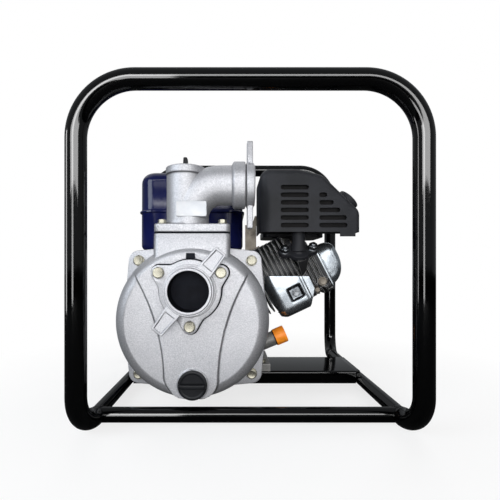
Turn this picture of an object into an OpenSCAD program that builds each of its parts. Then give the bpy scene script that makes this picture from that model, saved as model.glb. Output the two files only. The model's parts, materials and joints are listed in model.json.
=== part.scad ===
// Portable fire pump: a petrol engine and a self-priming water pump in a tubular cage.
// Millimetres, +Z up, pump front towards -Y, origin under the middle of the cage on the floor.

/* [Cage] */
// Cage width between tube centre lines
frame_w = 416; // [380:1:480]
// Cage length between tube centre lines
frame_l = 440; // [420:1:500]
// Overall cage height
frame_h = 445; // [425:1:500]
// Cage tube outside diameter
tube_d = 25.4; // [22:0.1:28]
// Cage tube wall
tube_wall = 2; // [1.2:0.1:4]
// Bend radius of the hoop corners
hoop_bend_r = 71; // [40:1:100]
// Bend radius where a leg turns back into its foot
foot_bend_r = 40; // [34:1:46]
// Distance the runners stand inside the hoop legs
foot_in = 6.5; // [4:0.5:8]
// Runner tube diameter
runner_d = 19; // [17:0.5:20]
// Cross tube diameter
cross_d = 20; // [16:0.5:22]
// Cross tube distance inside the hoop plane
cross_inset = 51; // [50:1:60]

/* [Engine base] */
// Base plate thickness
plate_t = 3; // [2:0.5:4]
// Base plate front edge
plate_y = -22; // [-26:1:-18]
// Base plate depth
plate_l = 106; // [106:1:124]
// Height of the turned-down plate edges
plate_flange = 18; // [12:1:22]
// Engine foot hole spacing across
mount_dx = 162; // [150:1:170]
// Engine foot hole spacing along the shaft
mount_dy = 75.5; // [70:0.5:80]
// Crankshaft height above the base plate
crank_h = 106; // [104:0.5:112]
// Crankshaft offset from the middle of the cage
crank_x = -75.5; // [-80:0.5:-72]

/* [Pump] */
// Pump casing radius
casing_r = 105; // [103:0.5:108]
// Radius of the casing shoulder
shoulder_r = 14.5; // [10:0.5:18]
// Flat front face of the casing
face_y = -174; // [-178:1:-170]
// Joint between casing and back plate
joint_y = -108; // [-110:1:-104]
// Casing wall
casing_wall = 6; // [4:0.5:8]
// Casing bolt square
bolt_sq = 165; // [160:1:168]
// Suction port height above the shaft
port_up = 43; // [40:0.5:46]
// Bore of the hose ports
port_d = 50.8; // [46:0.1:54]
// Outside diameter of the port collars
collar_d = 58; // [56:0.5:60]
// Outside diameter of the coupling rings
ring_d = 63; // [62:0.5:66]
// Reach of the coupling ring wings
wing_r = 65; // [60:1:66]
// Bolt circle radius of the suction flange
flange_pcr = 46; // [45:0.5:48]
// Drain and priming plug head diameter
plug_d = 38.5; // [34:0.5:40]
// Neck box width
neck_w = 103; // [100:1:106]
// Top of the neck box
neck_z = 253; // [250:1:258]
// Elbow flange thickness
elbow_flange_t = 11; // [9:0.5:13]
// Elbow flange bolt spacing across
elbow_bolt_dx = 82; // [78:1:86]
// Outlet axis height
outlet_z = 322.5; // [318:0.5:326]
// Front of the neck box
neck_y = -166; // [-168:1:-164]
// Impeller radius
impeller_r = 56; // [48:1:58]

/* [Engine] */
// Tilt of the cylinder above level
cyl_tilt = 27; // [25:1:29]
// Cooling fin pitch
fin_pitch = 8; // [7.5:0.5:9]
// Number of cooling fins on the barrel
fin_n = 11; // [8:1:12]
// Fuel tank width
tank_w = 193; // [170:1:200]
// Fuel tank depth
tank_l = 178; // [150:1:185]
// Fuel tank underside height
tank_z = 237; // [234:1:242]
// Fuel tank height
tank_h = 144; // [120:1:146]
// Muffler guard width
guard_w = 156; // [150:1:160]
// Muffler guard height
guard_h = 100; // [96:1:104]
// Muffler guard depth
guard_l = 92; // [80:1:96]
// Guard slot height
slot_h = 6; // [4:0.5:7]
// Guard slot pitch
slot_pitch = 11.8; // [11:0.1:13]

/* [Fits] */
// Running clearance on each side of a turning part
run_gap = 0.06; // [0.03:0.01:0.09]

/* [Hidden] */
$fn = 64;
eps = 0.01;
weld_gap = 0.03;
tube_r = tube_d / 2;
half_w = frame_w / 2;
half_l = frame_l / 2;
top_z = frame_h - tube_r;
cross_z = tube_r - 1.2;
runner_r = runner_d / 2;
runner_x = half_w - foot_in;
foot_turn = asin(foot_in / foot_bend_r);
foot_l = foot_bend_r * cos(foot_turn);
foot_thin = 0.25;
ball_r = tube_r - 2.4 * foot_thin;
leg_z0 = tube_r + foot_bend_r;
leg_z1 = top_z - hoop_bend_r;
plate_top = tube_d + plate_t;
crank_z = plate_top + crank_h;
port_z = crank_z + port_up;
foot_x = crank_x + 24.5;
foot_t = 12;
// stations along the shaft, from the pump face to the starter
pto_y = -65;
block_y0 = -24;
block_y1 = 66;
shroud_y1 = 138;
recoil_y1 = 182;
// suction stack: gasket, flange, collar end
boss_t = 5;
gasket_t = 2.5;
flange_t = 8;
boss_y = face_y - boss_t;
gasket_y = boss_y - gasket_t;
flange_y = gasket_y - flange_t;
port_y = -208;
ring_t = 10;
// elbow
neck_l = joint_y - neck_y;
elbow_y = neck_y + neck_l / 2;
elbow_x = crank_x - 6.5;
riser_x = crank_x - 11.5;
bend_r = 45;
pipe_d = 55;
tower_r = 26.5;
socket = 0.6;
tower_z = 347;
plug_sink = 4.8;
outlet_x = 10;
elbow_bolt_dy = 40;
elbow_z0 = neck_z + 2;
elbow_z1 = elbow_z0 + elbow_flange_t;
// shaft radii
shaft_pump_r = 8;
shaft_seal_r = 12;
shaft_main_r = 15;
shaft_fan_r = 11;
bearing_r = 31;

// Helpers

// Cylinder along +Y from the local origin
module cyl_y(r, l) {
    rotate([-90, 0, 0]) cylinder(r = r, h = l);
}

// Cylinder along +X from the local origin
module cyl_x(r, l) {
    rotate([0, 90, 0]) cylinder(r = r, h = l);
}

// Ring along +Y
module ring_y(ro, ri, l) {
    difference() {
        cyl_y(ro, l);
        translate([0, -1, 0]) cyl_y(ri, l + 2);
    }
}

// Flat outline in the XZ plane, grown along +Y
module grow_y(l) {
    translate([0, l, 0]) rotate([90, 0, 0]) linear_extrude(height = l) children();
}

// Solid of revolution about the Y axis; profile x is the radius, profile y runs along +Y
module turn_y() {
    rotate([-90, 0, 0]) rotate_extrude($fn = 96) children();
}

// Rectangle with round corners, centred
module round_rect(w, h, r) {
    square([w - 2 * r, h], center = true);
    square([w, h - 2 * r], center = true);
    for (sx = [-1, 1], sy = [-1, 1])
        translate([sx * (w / 2 - r), sy * (h / 2 - r)]) circle(r = r);
}

// Slot with round ends, centred
module slot(w, h) {
    square([w - h, h], center = true);
    for (s = [-1, 1]) translate([s * (w - h) / 2, 0]) circle(r = h / 2, $fn = 24);
}

// Hexagon bolt head with washer face, standing along +Z
module hex_head(af, h, washer_r) {
    cylinder(r = washer_r, h = 1.6);
    translate([0, 0, 1.6]) cylinder(d = af / cos(30), h = h, $fn = 6);
}

// Places children at the four corners of a rectangle in the XZ plane
module corners_xz(dx, dz) {
    for (sx = [-1, 1], sz = [-1, 1]) translate([sx * dx / 2, 0, sz * dz / 2]) children();
}

// Moves children onto the crankshaft axis at station y
module on_shaft(y) {
    translate([crank_x, y, crank_z]) children();
}

// Turns children so that local +X runs up the cylinder axis, local +Z across it
module on_cylinder() {
    translate([crank_x, 0, crank_z]) rotate([0, -cyl_tilt, 0]) children();
}

// Cage

module tube_line(l) {
    difference() {
        cylinder(r = tube_r, h = l);
        translate([0, 0, -1]) cylinder(r = tube_r - tube_wall, h = l + 2);
    }
}

// Quarter bend; thin draws both faces of its wall in by that much
module tube_bend(r, thin) {
    rotate_extrude(angle = 90, $fn = 96) translate([r, 0]) difference() {
        circle(r = tube_r - thin, $fn = 48);
        circle(r = tube_r - tube_wall + thin, $fn = 48);
    }
}

// Foot of a leg: bends back and slightly inwards, its end closed by a ball
module foot(s) {
    translate([s * half_w, 0, 0]) rotate([0, 0, s * foot_turn]) translate([0, foot_bend_r, leg_z0])
        rotate([0, 90, 0]) rotate([0, 0, -90]) tube_bend(foot_bend_r, foot_thin);
    translate([s * runner_x, foot_l, tube_r]) rotate([0, 90, 0]) sphere(r = ball_r);
}

// Hoop standing in the XZ plane, its feet towards +Y
module hoop() {
    for (s = [-1, 1]) translate([s * half_w, 0, leg_z0]) tube_line(leg_z1 - leg_z0);
    for (s = [-1, 1]) foot(s);
    translate([-half_w + hoop_bend_r, 0, top_z]) rotate([0, 90, 0])
        tube_line(frame_w - 2 * hoop_bend_r);
    for (s = [0, 1]) mirror([s, 0, 0])
        translate([half_w - hoop_bend_r, 0, leg_z1]) rotate([90, 0, 0]) tube_bend(hoop_bend_r, 0);
}

// Balls at both ends of a runner, grown by the weld gap
module foot_balls(x) {
    for (s = [-1, 1]) translate([x, s * (half_l - foot_l), tube_r]) sphere(r = ball_r + weld_gap);
}

module runner(x) {
    l = frame_l - 2 * foot_l;
    difference() {
        translate([x, -l / 2, tube_r]) ring_y(runner_r, runner_r - tube_wall, l);
        foot_balls(x);
    }
}

module cross_tube(y) {
    end_x = runner_x - 6.2;
    difference() {
        translate([-end_x, y, cross_z]) cyl_x(cross_d / 2, 2 * end_x);
        translate([-end_x - 1, y, cross_z]) cyl_x(cross_d / 2 - tube_wall, 2 * end_x + 2);
        for (s = [-1, 1]) translate([s * runner_x, y - cross_d, tube_r])
            cyl_y(runner_r + weld_gap, 2 * cross_d);
        for (s = [-1, 1]) foot_balls(s * runner_x);
    }
}

module front_hoop() {
    color("#15161a") translate([0, -half_l, 0]) hoop();
}

module rear_hoop() {
    color("#15161a") mirror([0, 1, 0]) translate([0, -half_l, 0]) hoop();
}

module left_runner() {
    color("#15161a") runner(-runner_x);
}

module right_runner() {
    color("#15161a") runner(runner_x);
}

module front_cross_tube() {
    color("#15161a") cross_tube(-half_l + cross_inset);
}

module rear_cross_tube() {
    color("#15161a") cross_tube(plate_y + 54);
}

// positions of the engine foot holes
module at_feet() {
    for (sx = [-1, 1], sy = [0, 1])
        translate([foot_x + sx * mount_dx / 2, plate_y + 16 + sy * mount_dy, 0]) children();
}

module engine_base_plate() {
    seat_w = 12;
    flange_x = runner_x - runner_r - 1;
    color("#15161a") difference() {
        union() {
            translate([-half_w, plate_y, tube_d]) cube([frame_w, plate_l, plate_t]);
            for (y = [plate_y, plate_y + plate_l - plate_t])
                translate([-flange_x, y, tube_d - plate_flange])
                    cube([2 * flange_x, plate_t, plate_flange + plate_t]);
            for (s = [-1, 1]) translate([s * runner_x - seat_w / 2, plate_y + 4, tube_d - 7])
                cube([seat_w, plate_l - 8, 7 + eps]);
        }
        for (s = [-1, 1]) translate([s * runner_x, plate_y - 1, tube_r])
            cyl_y(runner_r + weld_gap, plate_l + 2);
        at_feet() translate([0, 0, tube_d - 1]) cylinder(r = 4.5, h = plate_t + 2, $fn = 32);
    }
}

module engine_mount_bolts() {
    color("#c9c7b4") at_feet() {
        translate([0, 0, plate_top + foot_t]) hex_head(13, 5.3, 8.5);
        translate([0, 0, tube_d - 7]) cylinder(r = 4, h = plate_t + foot_t + 7 + eps, $fn = 32);
        translate([0, 0, tube_d - 6.5]) cylinder(d = 13 / cos(30), h = 6.5, $fn = 6);
    }
}

// Pump

// Casing section: rounded at the front, open at the joint
module casing_section(r, y0, y1, rr) {
    translate([0, y0 + rr]) square([r, y1 - y0 - rr]);
    translate([0, y0]) square([r - rr, rr + eps]);
    translate([r - rr, y0 + rr]) circle(r = rr);
}

// Outline shared by the casing flange and the back plate: a disc with four bolt ears
module ear_outline() {
    ear_r = 15;
    b = bolt_sq / 2;
    lean = acos((casing_r - ear_r) / (b * sqrt(2)));
    ri = casing_r - 0.2;
    ei = ear_r - 0.2;
    circle(r = casing_r, $fn = 96);
    for (a = [0:90:270]) rotate(a) {
        translate([b, b]) circle(r = ear_r, $fn = 48);
        polygon([[0, 0], ri * [cos(45 - lean), sin(45 - lean)],
            [b, b] + ei * [cos(45 - lean), sin(45 - lean)],
            [b, b] + ei * [cos(45 + lean), sin(45 + lean)],
            ri * [cos(45 + lean), sin(45 + lean)]]);
    }
}

// Three-lobed outline of the suction flange, about the port axis
module lobe_outline(grow) {
    circle(r = 41 + grow);
    for (a = [30, 150, 270]) rotate(a) {
        translate([flange_pcr, 0]) circle(r = 11.5 + grow, $fn = 48);
        translate([0, -11 - grow]) square([flange_pcr, 22 + 2 * grow]);
    }
}

// Places children on the suction port axis at station y
module on_port(y) {
    translate([crank_x, y, port_z]) children();
}

drain_x = crank_x + 2.5;
drain_z = crank_z - 80.5;

// Raised shield on the casing front: a waist between two large circles, flowing into the drain boss
module shield_outline() {
    waist_r = 278;
    waist_x = 313;
    waist_z = -80;
    difference() {
        intersection() {
            circle(r = casing_r - shoulder_r + 1, $fn = 96);
            translate([-casing_r, -77]) square([2 * casing_r, 2 * casing_r]);
        }
        for (s = [-1, 1]) translate([s * waist_x, waist_z]) circle(r = waist_r, $fn = 128);
    }
}

module drain_outline() {
    translate([2, -78]) {
        for (s = [-1, 1]) translate([s * 10, 0]) circle(r = 23);
        translate([-10, -23]) square([20, 30]);
        translate([-33, 0]) square([66, 14]);
    }
}

module pump_casing() {
    ear_t = 9;
    shield_t = 2.5;
    color("#b9bcc0") difference() {
        union() {
            on_shaft(0) turn_y() casing_section(casing_r, face_y, joint_y, shoulder_r);
            on_shaft(joint_y - ear_t) grow_y(ear_t) ear_outline();
            translate([crank_x, elbow_y, crank_z]) linear_extrude(height = neck_z - crank_z)
                round_rect(neck_w, neck_l, 8);
            on_shaft(face_y - shield_t) grow_y(shield_t + 3) shield_outline();
            on_shaft(face_y - shield_t) grow_y(30) drain_outline();
            translate([drain_x, face_y - 4, drain_z]) cyl_y(plug_d / 2 + 1, 20);
            on_port(boss_y) grow_y(boss_t + 2) lobe_outline(0);
        }
        on_shaft(0) turn_y()
            casing_section(casing_r - casing_wall, face_y + casing_wall, joint_y + 1, shoulder_r - 4);
        translate([crank_x, elbow_y, crank_z]) linear_extrude(height = neck_z - crank_z + 1)
            round_rect(neck_w - 2 * casing_wall, neck_l - 2 * casing_wall, 6);
        on_port(boss_y - 1) cyl_y(32.5, boss_t + casing_wall + 8);
        on_port(boss_y - 1) for (a = [30, 150, 270]) rotate([0, -a, 0])
            translate([flange_pcr, 0, 0]) cyl_y(4, boss_t + 4);
        translate([crank_x - flap_pin_l / 2 - 0.3, flap_pin_y, port_z + flap_up])
            cyl_x(2 + run_gap, flap_pin_l + 0.6);
        translate([drain_x, face_y - 10, drain_z]) cyl_y(10 + run_gap, 40);
        on_shaft(joint_y - ear_t - 1) corners_xz(bolt_sq, bolt_sq) cyl_y(4.3, ear_t + 2);
        translate([crank_x, elbow_y, neck_z - 14]) for (sx = [-1, 1], sy = [-1, 1])
            translate([sx * elbow_bolt_dx / 2, sy * elbow_bolt_dy / 2, 0]) cylinder(r = 3.2, h = 20);
    }
}

module check_valve_gasket() {
    tab_w = 11.5;
    tab_r = 48.5;
    color("#1c1c1e") on_port(gasket_y) grow_y(gasket_t) difference() {
        union() {
            lobe_outline(0.8);
            translate([-tab_w / 2, 30]) square([tab_w, tab_r - 30]);
        }
        circle(r = 33);
        for (a = [30, 150, 270]) rotate(a) translate([flange_pcr, 0]) circle(r = 4.3, $fn = 32);
    }
}

flap_up = 28;
flap_pin_y = boss_y + 3;
flap_pin_l = 38;

// Rubber flap hanging from a pin at its top, closing the back of the suction flange
module check_valve_flap() {
    flap_t = 4;
    color("#242426") {
        on_port(gasket_y + 0.2) cyl_y(27.8, flap_t);
        on_port(gasket_y + 0.2) grow_y(flap_t + 3) translate([-9, 15]) square([18, flap_up - 15]);
        translate([crank_x - flap_pin_l / 2, flap_pin_y, port_z + flap_up]) cyl_x(2, flap_pin_l);
    }
}

module suction_flange() {
    color("#b9bcc0") difference() {
        union() {
            on_port(flange_y) grow_y(flange_t) lobe_outline(0);
            on_port(port_y) cyl_y(collar_d / 2, flange_y - port_y + 1);
            on_port(flange_y - 3) cyl_y(34, 4);
        }
        on_port(port_y - 1) cyl_y(port_d / 2, flange_y + flange_t - port_y + 2);
        on_port(flange_y - 1) for (a = [30, 150, 270]) rotate([0, -a, 0])
            translate([flange_pcr, 0, 0]) cyl_y(4.3, flange_t + 2);
    }
}

module suction_flange_bolts() {
    shank = flange_t + gasket_t + boss_t - 1;
    color("#d3d0bd") on_port(flange_y) for (a = [30, 150, 270]) rotate([0, -a, 0])
        translate([flange_pcr, 0, 0]) {
            rotate([90, 0, 0]) hex_head(13, 4.4, 7.4);
            cyl_y(4, shank);
        }
}

// Wing of a coupling ring: a tapered blade with a sunk panel, in the plane of the ring
module wing(t, reach) {
    root_w = 20;
    tip_w = 15.6;
    sunk = 1.4;
    border = 3;
    difference() {
        grow_y(t) polygon([[ring_d / 2 - 3, -root_w / 2], [reach, -tip_w / 2], [reach, tip_w / 2],
            [ring_d / 2 - 3, root_w / 2]]);
        translate([0, -1, 0]) grow_y(sunk + 1) polygon([[ring_d / 2 + 5, -root_w / 2 + border + 0.4],
            [reach - border, -tip_w / 2 + border], [reach - border, tip_w / 2 - border],
            [ring_d / 2 + 5, root_w / 2 - border - 0.4]]);
    }
}

// Coupling ring on the Y axis, front at the local origin, wings at the given angles
module coupling_ring(angles, reach) {
    wing_t = 8;
    difference() {
        union() {
            cyl_y(ring_d / 2, ring_t);
            for (a = angles) rotate([0, -a, 0]) translate([0, 1, 0]) wing(wing_t, reach);
        }
        translate([0, -1, 0]) cyl_y(collar_d / 2 + run_gap, ring_t + 2);
    }
}

module suction_coupling_ring() {
    color("#b4b7bb") on_port(port_y + 1.5) coupling_ring([51, 232], wing_r);
}

// Screw plug along -Y: round head, grip rib across, shank behind
module screw_plug(rib_h) {
    head_t = 5;
    rib_w = 6;
    color("#17181b") {
        translate([0, -head_t, 0]) cyl_y(plug_d / 2, head_t);
        intersection() {
            translate([-plug_d / 2, -head_t - rib_h, -rib_w / 2]) cube([plug_d, rib_h + 1, rib_w]);
            translate([0, -head_t - rib_h - 1, 0]) cyl_y(plug_d / 2 - 1, rib_h + 3);
        }
        cyl_y(10, 16);
    }
}

module drain_plug() {
    translate([drain_x, face_y - 4.2, drain_z]) screw_plug(7);
}

module at_elbow_bolts() {
    for (sx = [-1, 1], sy = [-1, 1])
        translate([crank_x + sx * elbow_bolt_dx / 2, elbow_y + sy * elbow_bolt_dy / 2, 0]) children();
}

module outlet_gasket() {
    color("#1c1c1e") difference() {
        translate([crank_x, elbow_y, neck_z]) linear_extrude(height = elbow_z0 - neck_z)
            difference() {
                round_rect(neck_w - 0.6, neck_l - 0.6, 8);
                round_rect(elbow_bolt_dx - 18, neck_l - 2 * casing_wall, 6);
            }
        at_elbow_bolts() translate([0, 0, neck_z - 1]) cylinder(r = 3.4, h = 5, $fn = 32);
    }
}

module elbow_outside() {
    translate([crank_x, elbow_y, elbow_z0]) linear_extrude(height = elbow_flange_t)
        round_rect(neck_w, neck_l, 8);
    translate([elbow_x, elbow_y, elbow_z0])
        cylinder(r = pipe_d / 2 + socket, h = outlet_z - bend_r - elbow_z0 + 1);
    translate([elbow_x + bend_r, elbow_y, outlet_z - bend_r]) rotate([90, 0, 0])
        rotate([0, 0, 90]) rotate_extrude(angle = 90, $fn = 96) translate([bend_r, 0]) circle(d = pipe_d);
    translate([elbow_x + bend_r - 1, elbow_y, outlet_z])
        cyl_x(pipe_d / 2 + socket, outlet_x - 27 - elbow_x - bend_r);
    translate([outlet_x - 29, elbow_y, outlet_z]) cyl_x(ring_d / 2 + 1.5, 16);
    translate([outlet_x - 14, elbow_y, outlet_z]) cyl_x(collar_d / 2, 14);
    translate([riser_x, elbow_y, elbow_z1 - 1]) cylinder(r = tower_r, h = tower_z - elbow_z1 + 1);
    translate([riser_x, elbow_y, tower_z - 10]) cylinder(r = tower_r + 1.2, h = 10);
    translate([crank_x - 21.5, elbow_y - tower_r - 1.5, elbow_z1 + 9.6]) cube([41.5, tower_r, 20.9]);
}

module discharge_elbow() {
    inner_r = 21;
    color("#b9bcc0") difference() {
        elbow_outside();
        translate([crank_x, elbow_y, elbow_z0 - 1]) linear_extrude(height = elbow_flange_t - 4)
            round_rect(elbow_bolt_dx - 18, neck_l - 2 * casing_wall, 6);
        translate([elbow_x, elbow_y, elbow_z0 + 2])
            cylinder(r = inner_r + socket, h = outlet_z - bend_r - elbow_z0 - 1);
        translate([elbow_x + bend_r, elbow_y, outlet_z - bend_r]) rotate([90, 0, 0]) rotate([0, 0, 90])
            rotate_extrude(angle = 90, $fn = 96) translate([bend_r, 0]) circle(r = inner_r);
        translate([elbow_x + bend_r - 1, elbow_y, outlet_z]) cyl_x(inner_r + socket, outlet_x - elbow_x - bend_r);
        translate([outlet_x - 30, elbow_y, outlet_z]) cyl_x(port_d / 2, 32);
        translate([riser_x, elbow_y, elbow_z1 + 30]) cylinder(r = 17, h = tower_z - elbow_z1 - 40);
        translate([riser_x, elbow_y, tower_z - 12]) cylinder(r = 10 + run_gap, h = 14);
        translate([riser_x, elbow_y, tower_z - plug_sink]) cylinder(r = plug_d / 2 + 0.5, h = plug_sink + 1);
        at_elbow_bolts() translate([0, 0, elbow_z0 - 1]) cylinder(r = 3.4, h = elbow_flange_t + 2);
    }
}

module elbow_bolts() {
    color("#d3d0bd") at_elbow_bolts() {
        translate([0, 0, elbow_z1]) hex_head(10, 4.6, 6.8);
        translate([0, 0, neck_z - 12]) cylinder(r = 3, h = elbow_z1 - neck_z + 12.5, $fn = 32);
    }
}

module priming_plug() {
    translate([riser_x, elbow_y, tower_z - plug_sink + 0.2]) rotate([-90, 0, 0]) rotate([0, 90, 0])
        screw_plug(14.3);
}

module discharge_coupling_ring() {
    color("#b4b7bb") translate([outlet_x - 1.5, elbow_y, outlet_z]) rotate([0, 0, 90])
        coupling_ring([90, 270], wing_r - 4);
}

module pump_back_plate() {
    plate_d = 9;
    bell_r = 62;
    color("#c4c6c8") difference() {
        union() {
            on_shaft(joint_y) grow_y(plate_d) ear_outline();
            on_shaft(joint_y + 1) cyl_y(bell_r, pto_y - joint_y - 1);
        }
        on_shaft(joint_y + plate_d) cyl_y(bell_r - 8, pto_y - joint_y - plate_d - 8);
        on_shaft(joint_y - 1) cyl_y(20, plate_d + 2);
        on_shaft(pto_y - 20) cyl_y(26, 21);
        on_shaft(joint_y - 1) corners_xz(bolt_sq, bolt_sq) cyl_y(4.3, plate_d + 2);
        on_shaft(pto_y - 12) for (a = [45:90:315]) rotate([0, a, 0])
            translate([46, 0, 0]) cyl_y(4.3, 14);
        on_shaft(joint_y + plate_d + 10) for (a = [0:90:270]) rotate([0, a, 0])
            translate([bell_r - 10, 0, -14]) cube([14, 8, 28]);
    }
}

module casing_bolts() {
    color("#d3d0bd") on_shaft(joint_y - 9) corners_xz(bolt_sq, bolt_sq) {
        rotate([90, 0, 0]) hex_head(13, 4.8, 8);
        cyl_y(4, 26);
        translate([0, 18, 0]) rotate([-90, 0, 0]) cylinder(d = 13 / cos(30), h = 6.5, $fn = 6);
    }
}

module adapter_bolts() {
    color("#8b8e92") on_shaft(pto_y - 8) for (a = [45:90:315]) rotate([0, a, 0])
        translate([46, 0, 0]) {
            rotate([90, 0, 0]) hex_head(12, 5, 7);
            cyl_y(4, 22);
        }
}

module volute() {
    volute_r = 76;
    front_y = -142;
    color("#6f7276") on_shaft(0) difference() {
        translate([0, front_y, 0]) cyl_y(volute_r, joint_y - front_y);
        translate([4, front_y + 5, 0]) cyl_y(impeller_r + 8, joint_y - front_y);
        translate([0, front_y - 1, 0]) cyl_y(24, 8);
        translate([30, front_y + 9, 30]) cube([30, joint_y - front_y - 14, 60]);
    }
}

module impeller() {
    vane_n = 5;
    vane_r = 40;
    color("#5c5f63") on_shaft(0) difference() {
        union() {
            translate([0, -117, 0]) cyl_y(impeller_r, 4);
            translate([0, -136, 0]) cyl_y(15, 22);
            translate([0, -133, 0]) grow_y(17) for (i = [0:vane_n - 1]) rotate(i * 360 / vane_n)
                intersection() {
                    circle(r = impeller_r - 0.5, $fn = 96);
                    translate([vane_r - 6, 0]) difference() {
                        circle(r = vane_r);
                        circle(r = vane_r - 4);
                        translate([-2 * vane_r, -4 * vane_r]) square(4 * vane_r);
                    }
                }
        }
        translate([0, -140, 0]) cyl_y(shaft_pump_r, 30);
    }
}

module mechanical_seal() {
    color("#3a3c3f") on_shaft(joint_y + 1) ring_y(20, shaft_seal_r + run_gap, 10);
}

// Engine

web_r = 44;
crank_throw = 27;

module crankshaft() {
    color("#8d9094") on_shaft(0) {
        translate([0, -140, 0]) cyl_y(shaft_pump_r, 30);
        translate([0, -112, 0]) cyl_y(shaft_seal_r, 50);
        translate([0, -63, 0]) cyl_y(shaft_main_r, 50);
        translate([0, 37, 0]) cyl_y(shaft_main_r, 30);
        translate([0, 66, 0]) cyl_y(shaft_fan_r, 74);
        for (y = [-14, 26]) translate([0, y, 0]) grow_y(12) intersection() {
            circle(r = web_r);
            square([54, 2 * web_r], center = true);
        }
        translate([0, -3, crank_throw]) cyl_y(13, 30);
    }
}

module main_bearings() {
    color("#9a9da1") on_shaft(0) for (y = [-58, 44])
        translate([0, y, 0]) ring_y(bearing_r, shaft_main_r + run_gap, 15);
}

barrel_y = 5;
head_u0 = 178;
head_u1 = 218;
cover_v = -30;
fin_top = 50;
fin_low = -60;
rim = 10;

// Outline of the crankcase about the shaft, sump below
module case_outline(grow) {
    circle(r = 72 + grow);
    translate([-38 - grow, -crank_h + foot_t - 1]) square([118 + 2 * grow, crank_h - foot_t + 1]);
}

// Cooling fin outline across the cylinder axis: local X is along the shaft, local Y across
module fin_outline() {
    translate([barrel_y, (fin_top + fin_low) / 2]) round_rect(88, fin_top - fin_low, 10);
}

// Grows a cross outline along the cylinder axis, from u0 to u1
module grow_u(u0, u1) {
    translate([u0, 0, 0]) rotate([90, 0, 90]) linear_extrude(height = u1 - u0) children();
}

module crankcase() {
    cavity_r = 58;
    color("#a7a9ac") difference() {
        union() {
            on_shaft(block_y0) grow_y(block_y1 - block_y0) case_outline(0);
            on_shaft(block_y0) grow_y(8) case_outline(rim);
            translate([foot_x - mount_dx / 2 - 14, plate_y, plate_top])
                cube([mount_dx + 28, mount_dy + 30, foot_t]);
            on_cylinder() intersection() {
                grow_u(40, head_u0) translate([barrel_y, 0]) circle(r = 41);
                translate([0, block_y0 - 30, -100]) cube([200, 120, 200]);
            }
            on_cylinder() for (i = [0:fin_n - 1])
                grow_u(head_u0 - 4 - i * fin_pitch, head_u0 - 1.6 - i * fin_pitch) fin_outline();
            translate([-150, 8, crank_z + 40]) cube([120, 50, tank_z - crank_z - 40]);
        }
        on_shaft(block_y0 - 40) grow_y(40) case_outline(rim + 0.3);
        on_shaft(block_y0 - 1) cyl_y(cavity_r, 69);
        on_shaft(block_y0) cyl_y(bearing_r, 68 + 16);
        on_shaft(block_y0) cyl_y(shaft_main_r + 3, 120);
        on_cylinder() grow_u(0, head_u0 + 1) translate([barrel_y, 0]) circle(r = 34);
        at_feet() translate([0, 0, plate_top - 1]) cylinder(r = 4.5, h = foot_t + 2, $fn = 32);
    }
}

filler_y = -42;

// Places children on the oil filler axis, local +Z out of the neck
module on_filler() {
    translate([crank_x + 132.5, filler_y, crank_z - 41]) rotate([0, 90 - cyl_tilt + 4, 0]) children();
}

module crankcase_cover() {
    color("#a0a3a6") difference() {
        union() {
            on_shaft(-52) grow_y(block_y0 + 52) case_outline(-3);
            on_shaft(pto_y) cyl_y(60, 16);
            on_shaft(block_y0 - 6) grow_y(6) case_outline(rim);
            on_filler() translate([0, 0, -62]) cylinder(r = 12, h = 55);
        }
        on_shaft(-58) cyl_y(bearing_r, 40);
        on_shaft(pto_y - 1) cyl_y(shaft_main_r + 3, 30);
        on_shaft(-43) cyl_y(54, 30);
        on_shaft(pto_y - 1) for (a = [45:90:315]) rotate([0, a, 0]) translate([46, 0, 0]) cyl_y(4, 16);
        on_filler() translate([0, 0, -30]) cylinder(r = 8 + run_gap, h = 40);
    }
}

module cover_bolts() {
    color("#c2c2b6") on_shaft(block_y0 - 6) {
        for (a = [62:34:200]) rotate([0, -a, 0]) translate([76.8, 0, 0]) rotate([90, 0, 0])
            hex_head(8, 3.6, 4.4);
        for (p = [[-43, -62], [-43, -86], [85, -34], [85, -90]]) translate([p[0], 0, p[1]])
            rotate([90, 0, 0]) hex_head(8, 3.6, 4.4);
    }
}

module oil_filler_cap() {
    color("#f0801e") on_filler() {
        translate([0, 0, -6.8]) cylinder(r = 12.5, h = 19);
        translate([0, 0, 12]) cube([6, 21, 6], center = true);
        translate([0, 0, -20]) cylinder(r = 8, h = 14);
    }
}

module oil_drain_bolt() {
    color("#b9b8ac") translate([crank_x + 80, 40, plate_top + 26]) rotate([0, 90, 0]) hex_head(12, 6, 9);
}

port_u = 188;
port_v = 14;
port_y0 = -60;
port_lean = 45;

module head_outline() {
    translate([barrel_y, -14.5]) round_rect(92, 105, 10);
}

// Places children on the exhaust port, local +Z out of it: up and towards the front.
// Only to be used on the cylinder
module on_exhaust_port() {
    translate([port_u, port_y0, port_v]) rotate([0, cyl_tilt, 0]) rotate([port_lean, 0, 0]) children();
}

side_bolt_u = 204.5;
side_bolt_v = -49;

// Places children on the four head bolts, local +Z out of the head
module at_head_bolts() {
    for (y = [barrel_y - 40, barrel_y + 40], v = [-58, 29])
        translate([head_u0 + 9, y, v]) rotate([0, 90, 0]) children();
}

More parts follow.
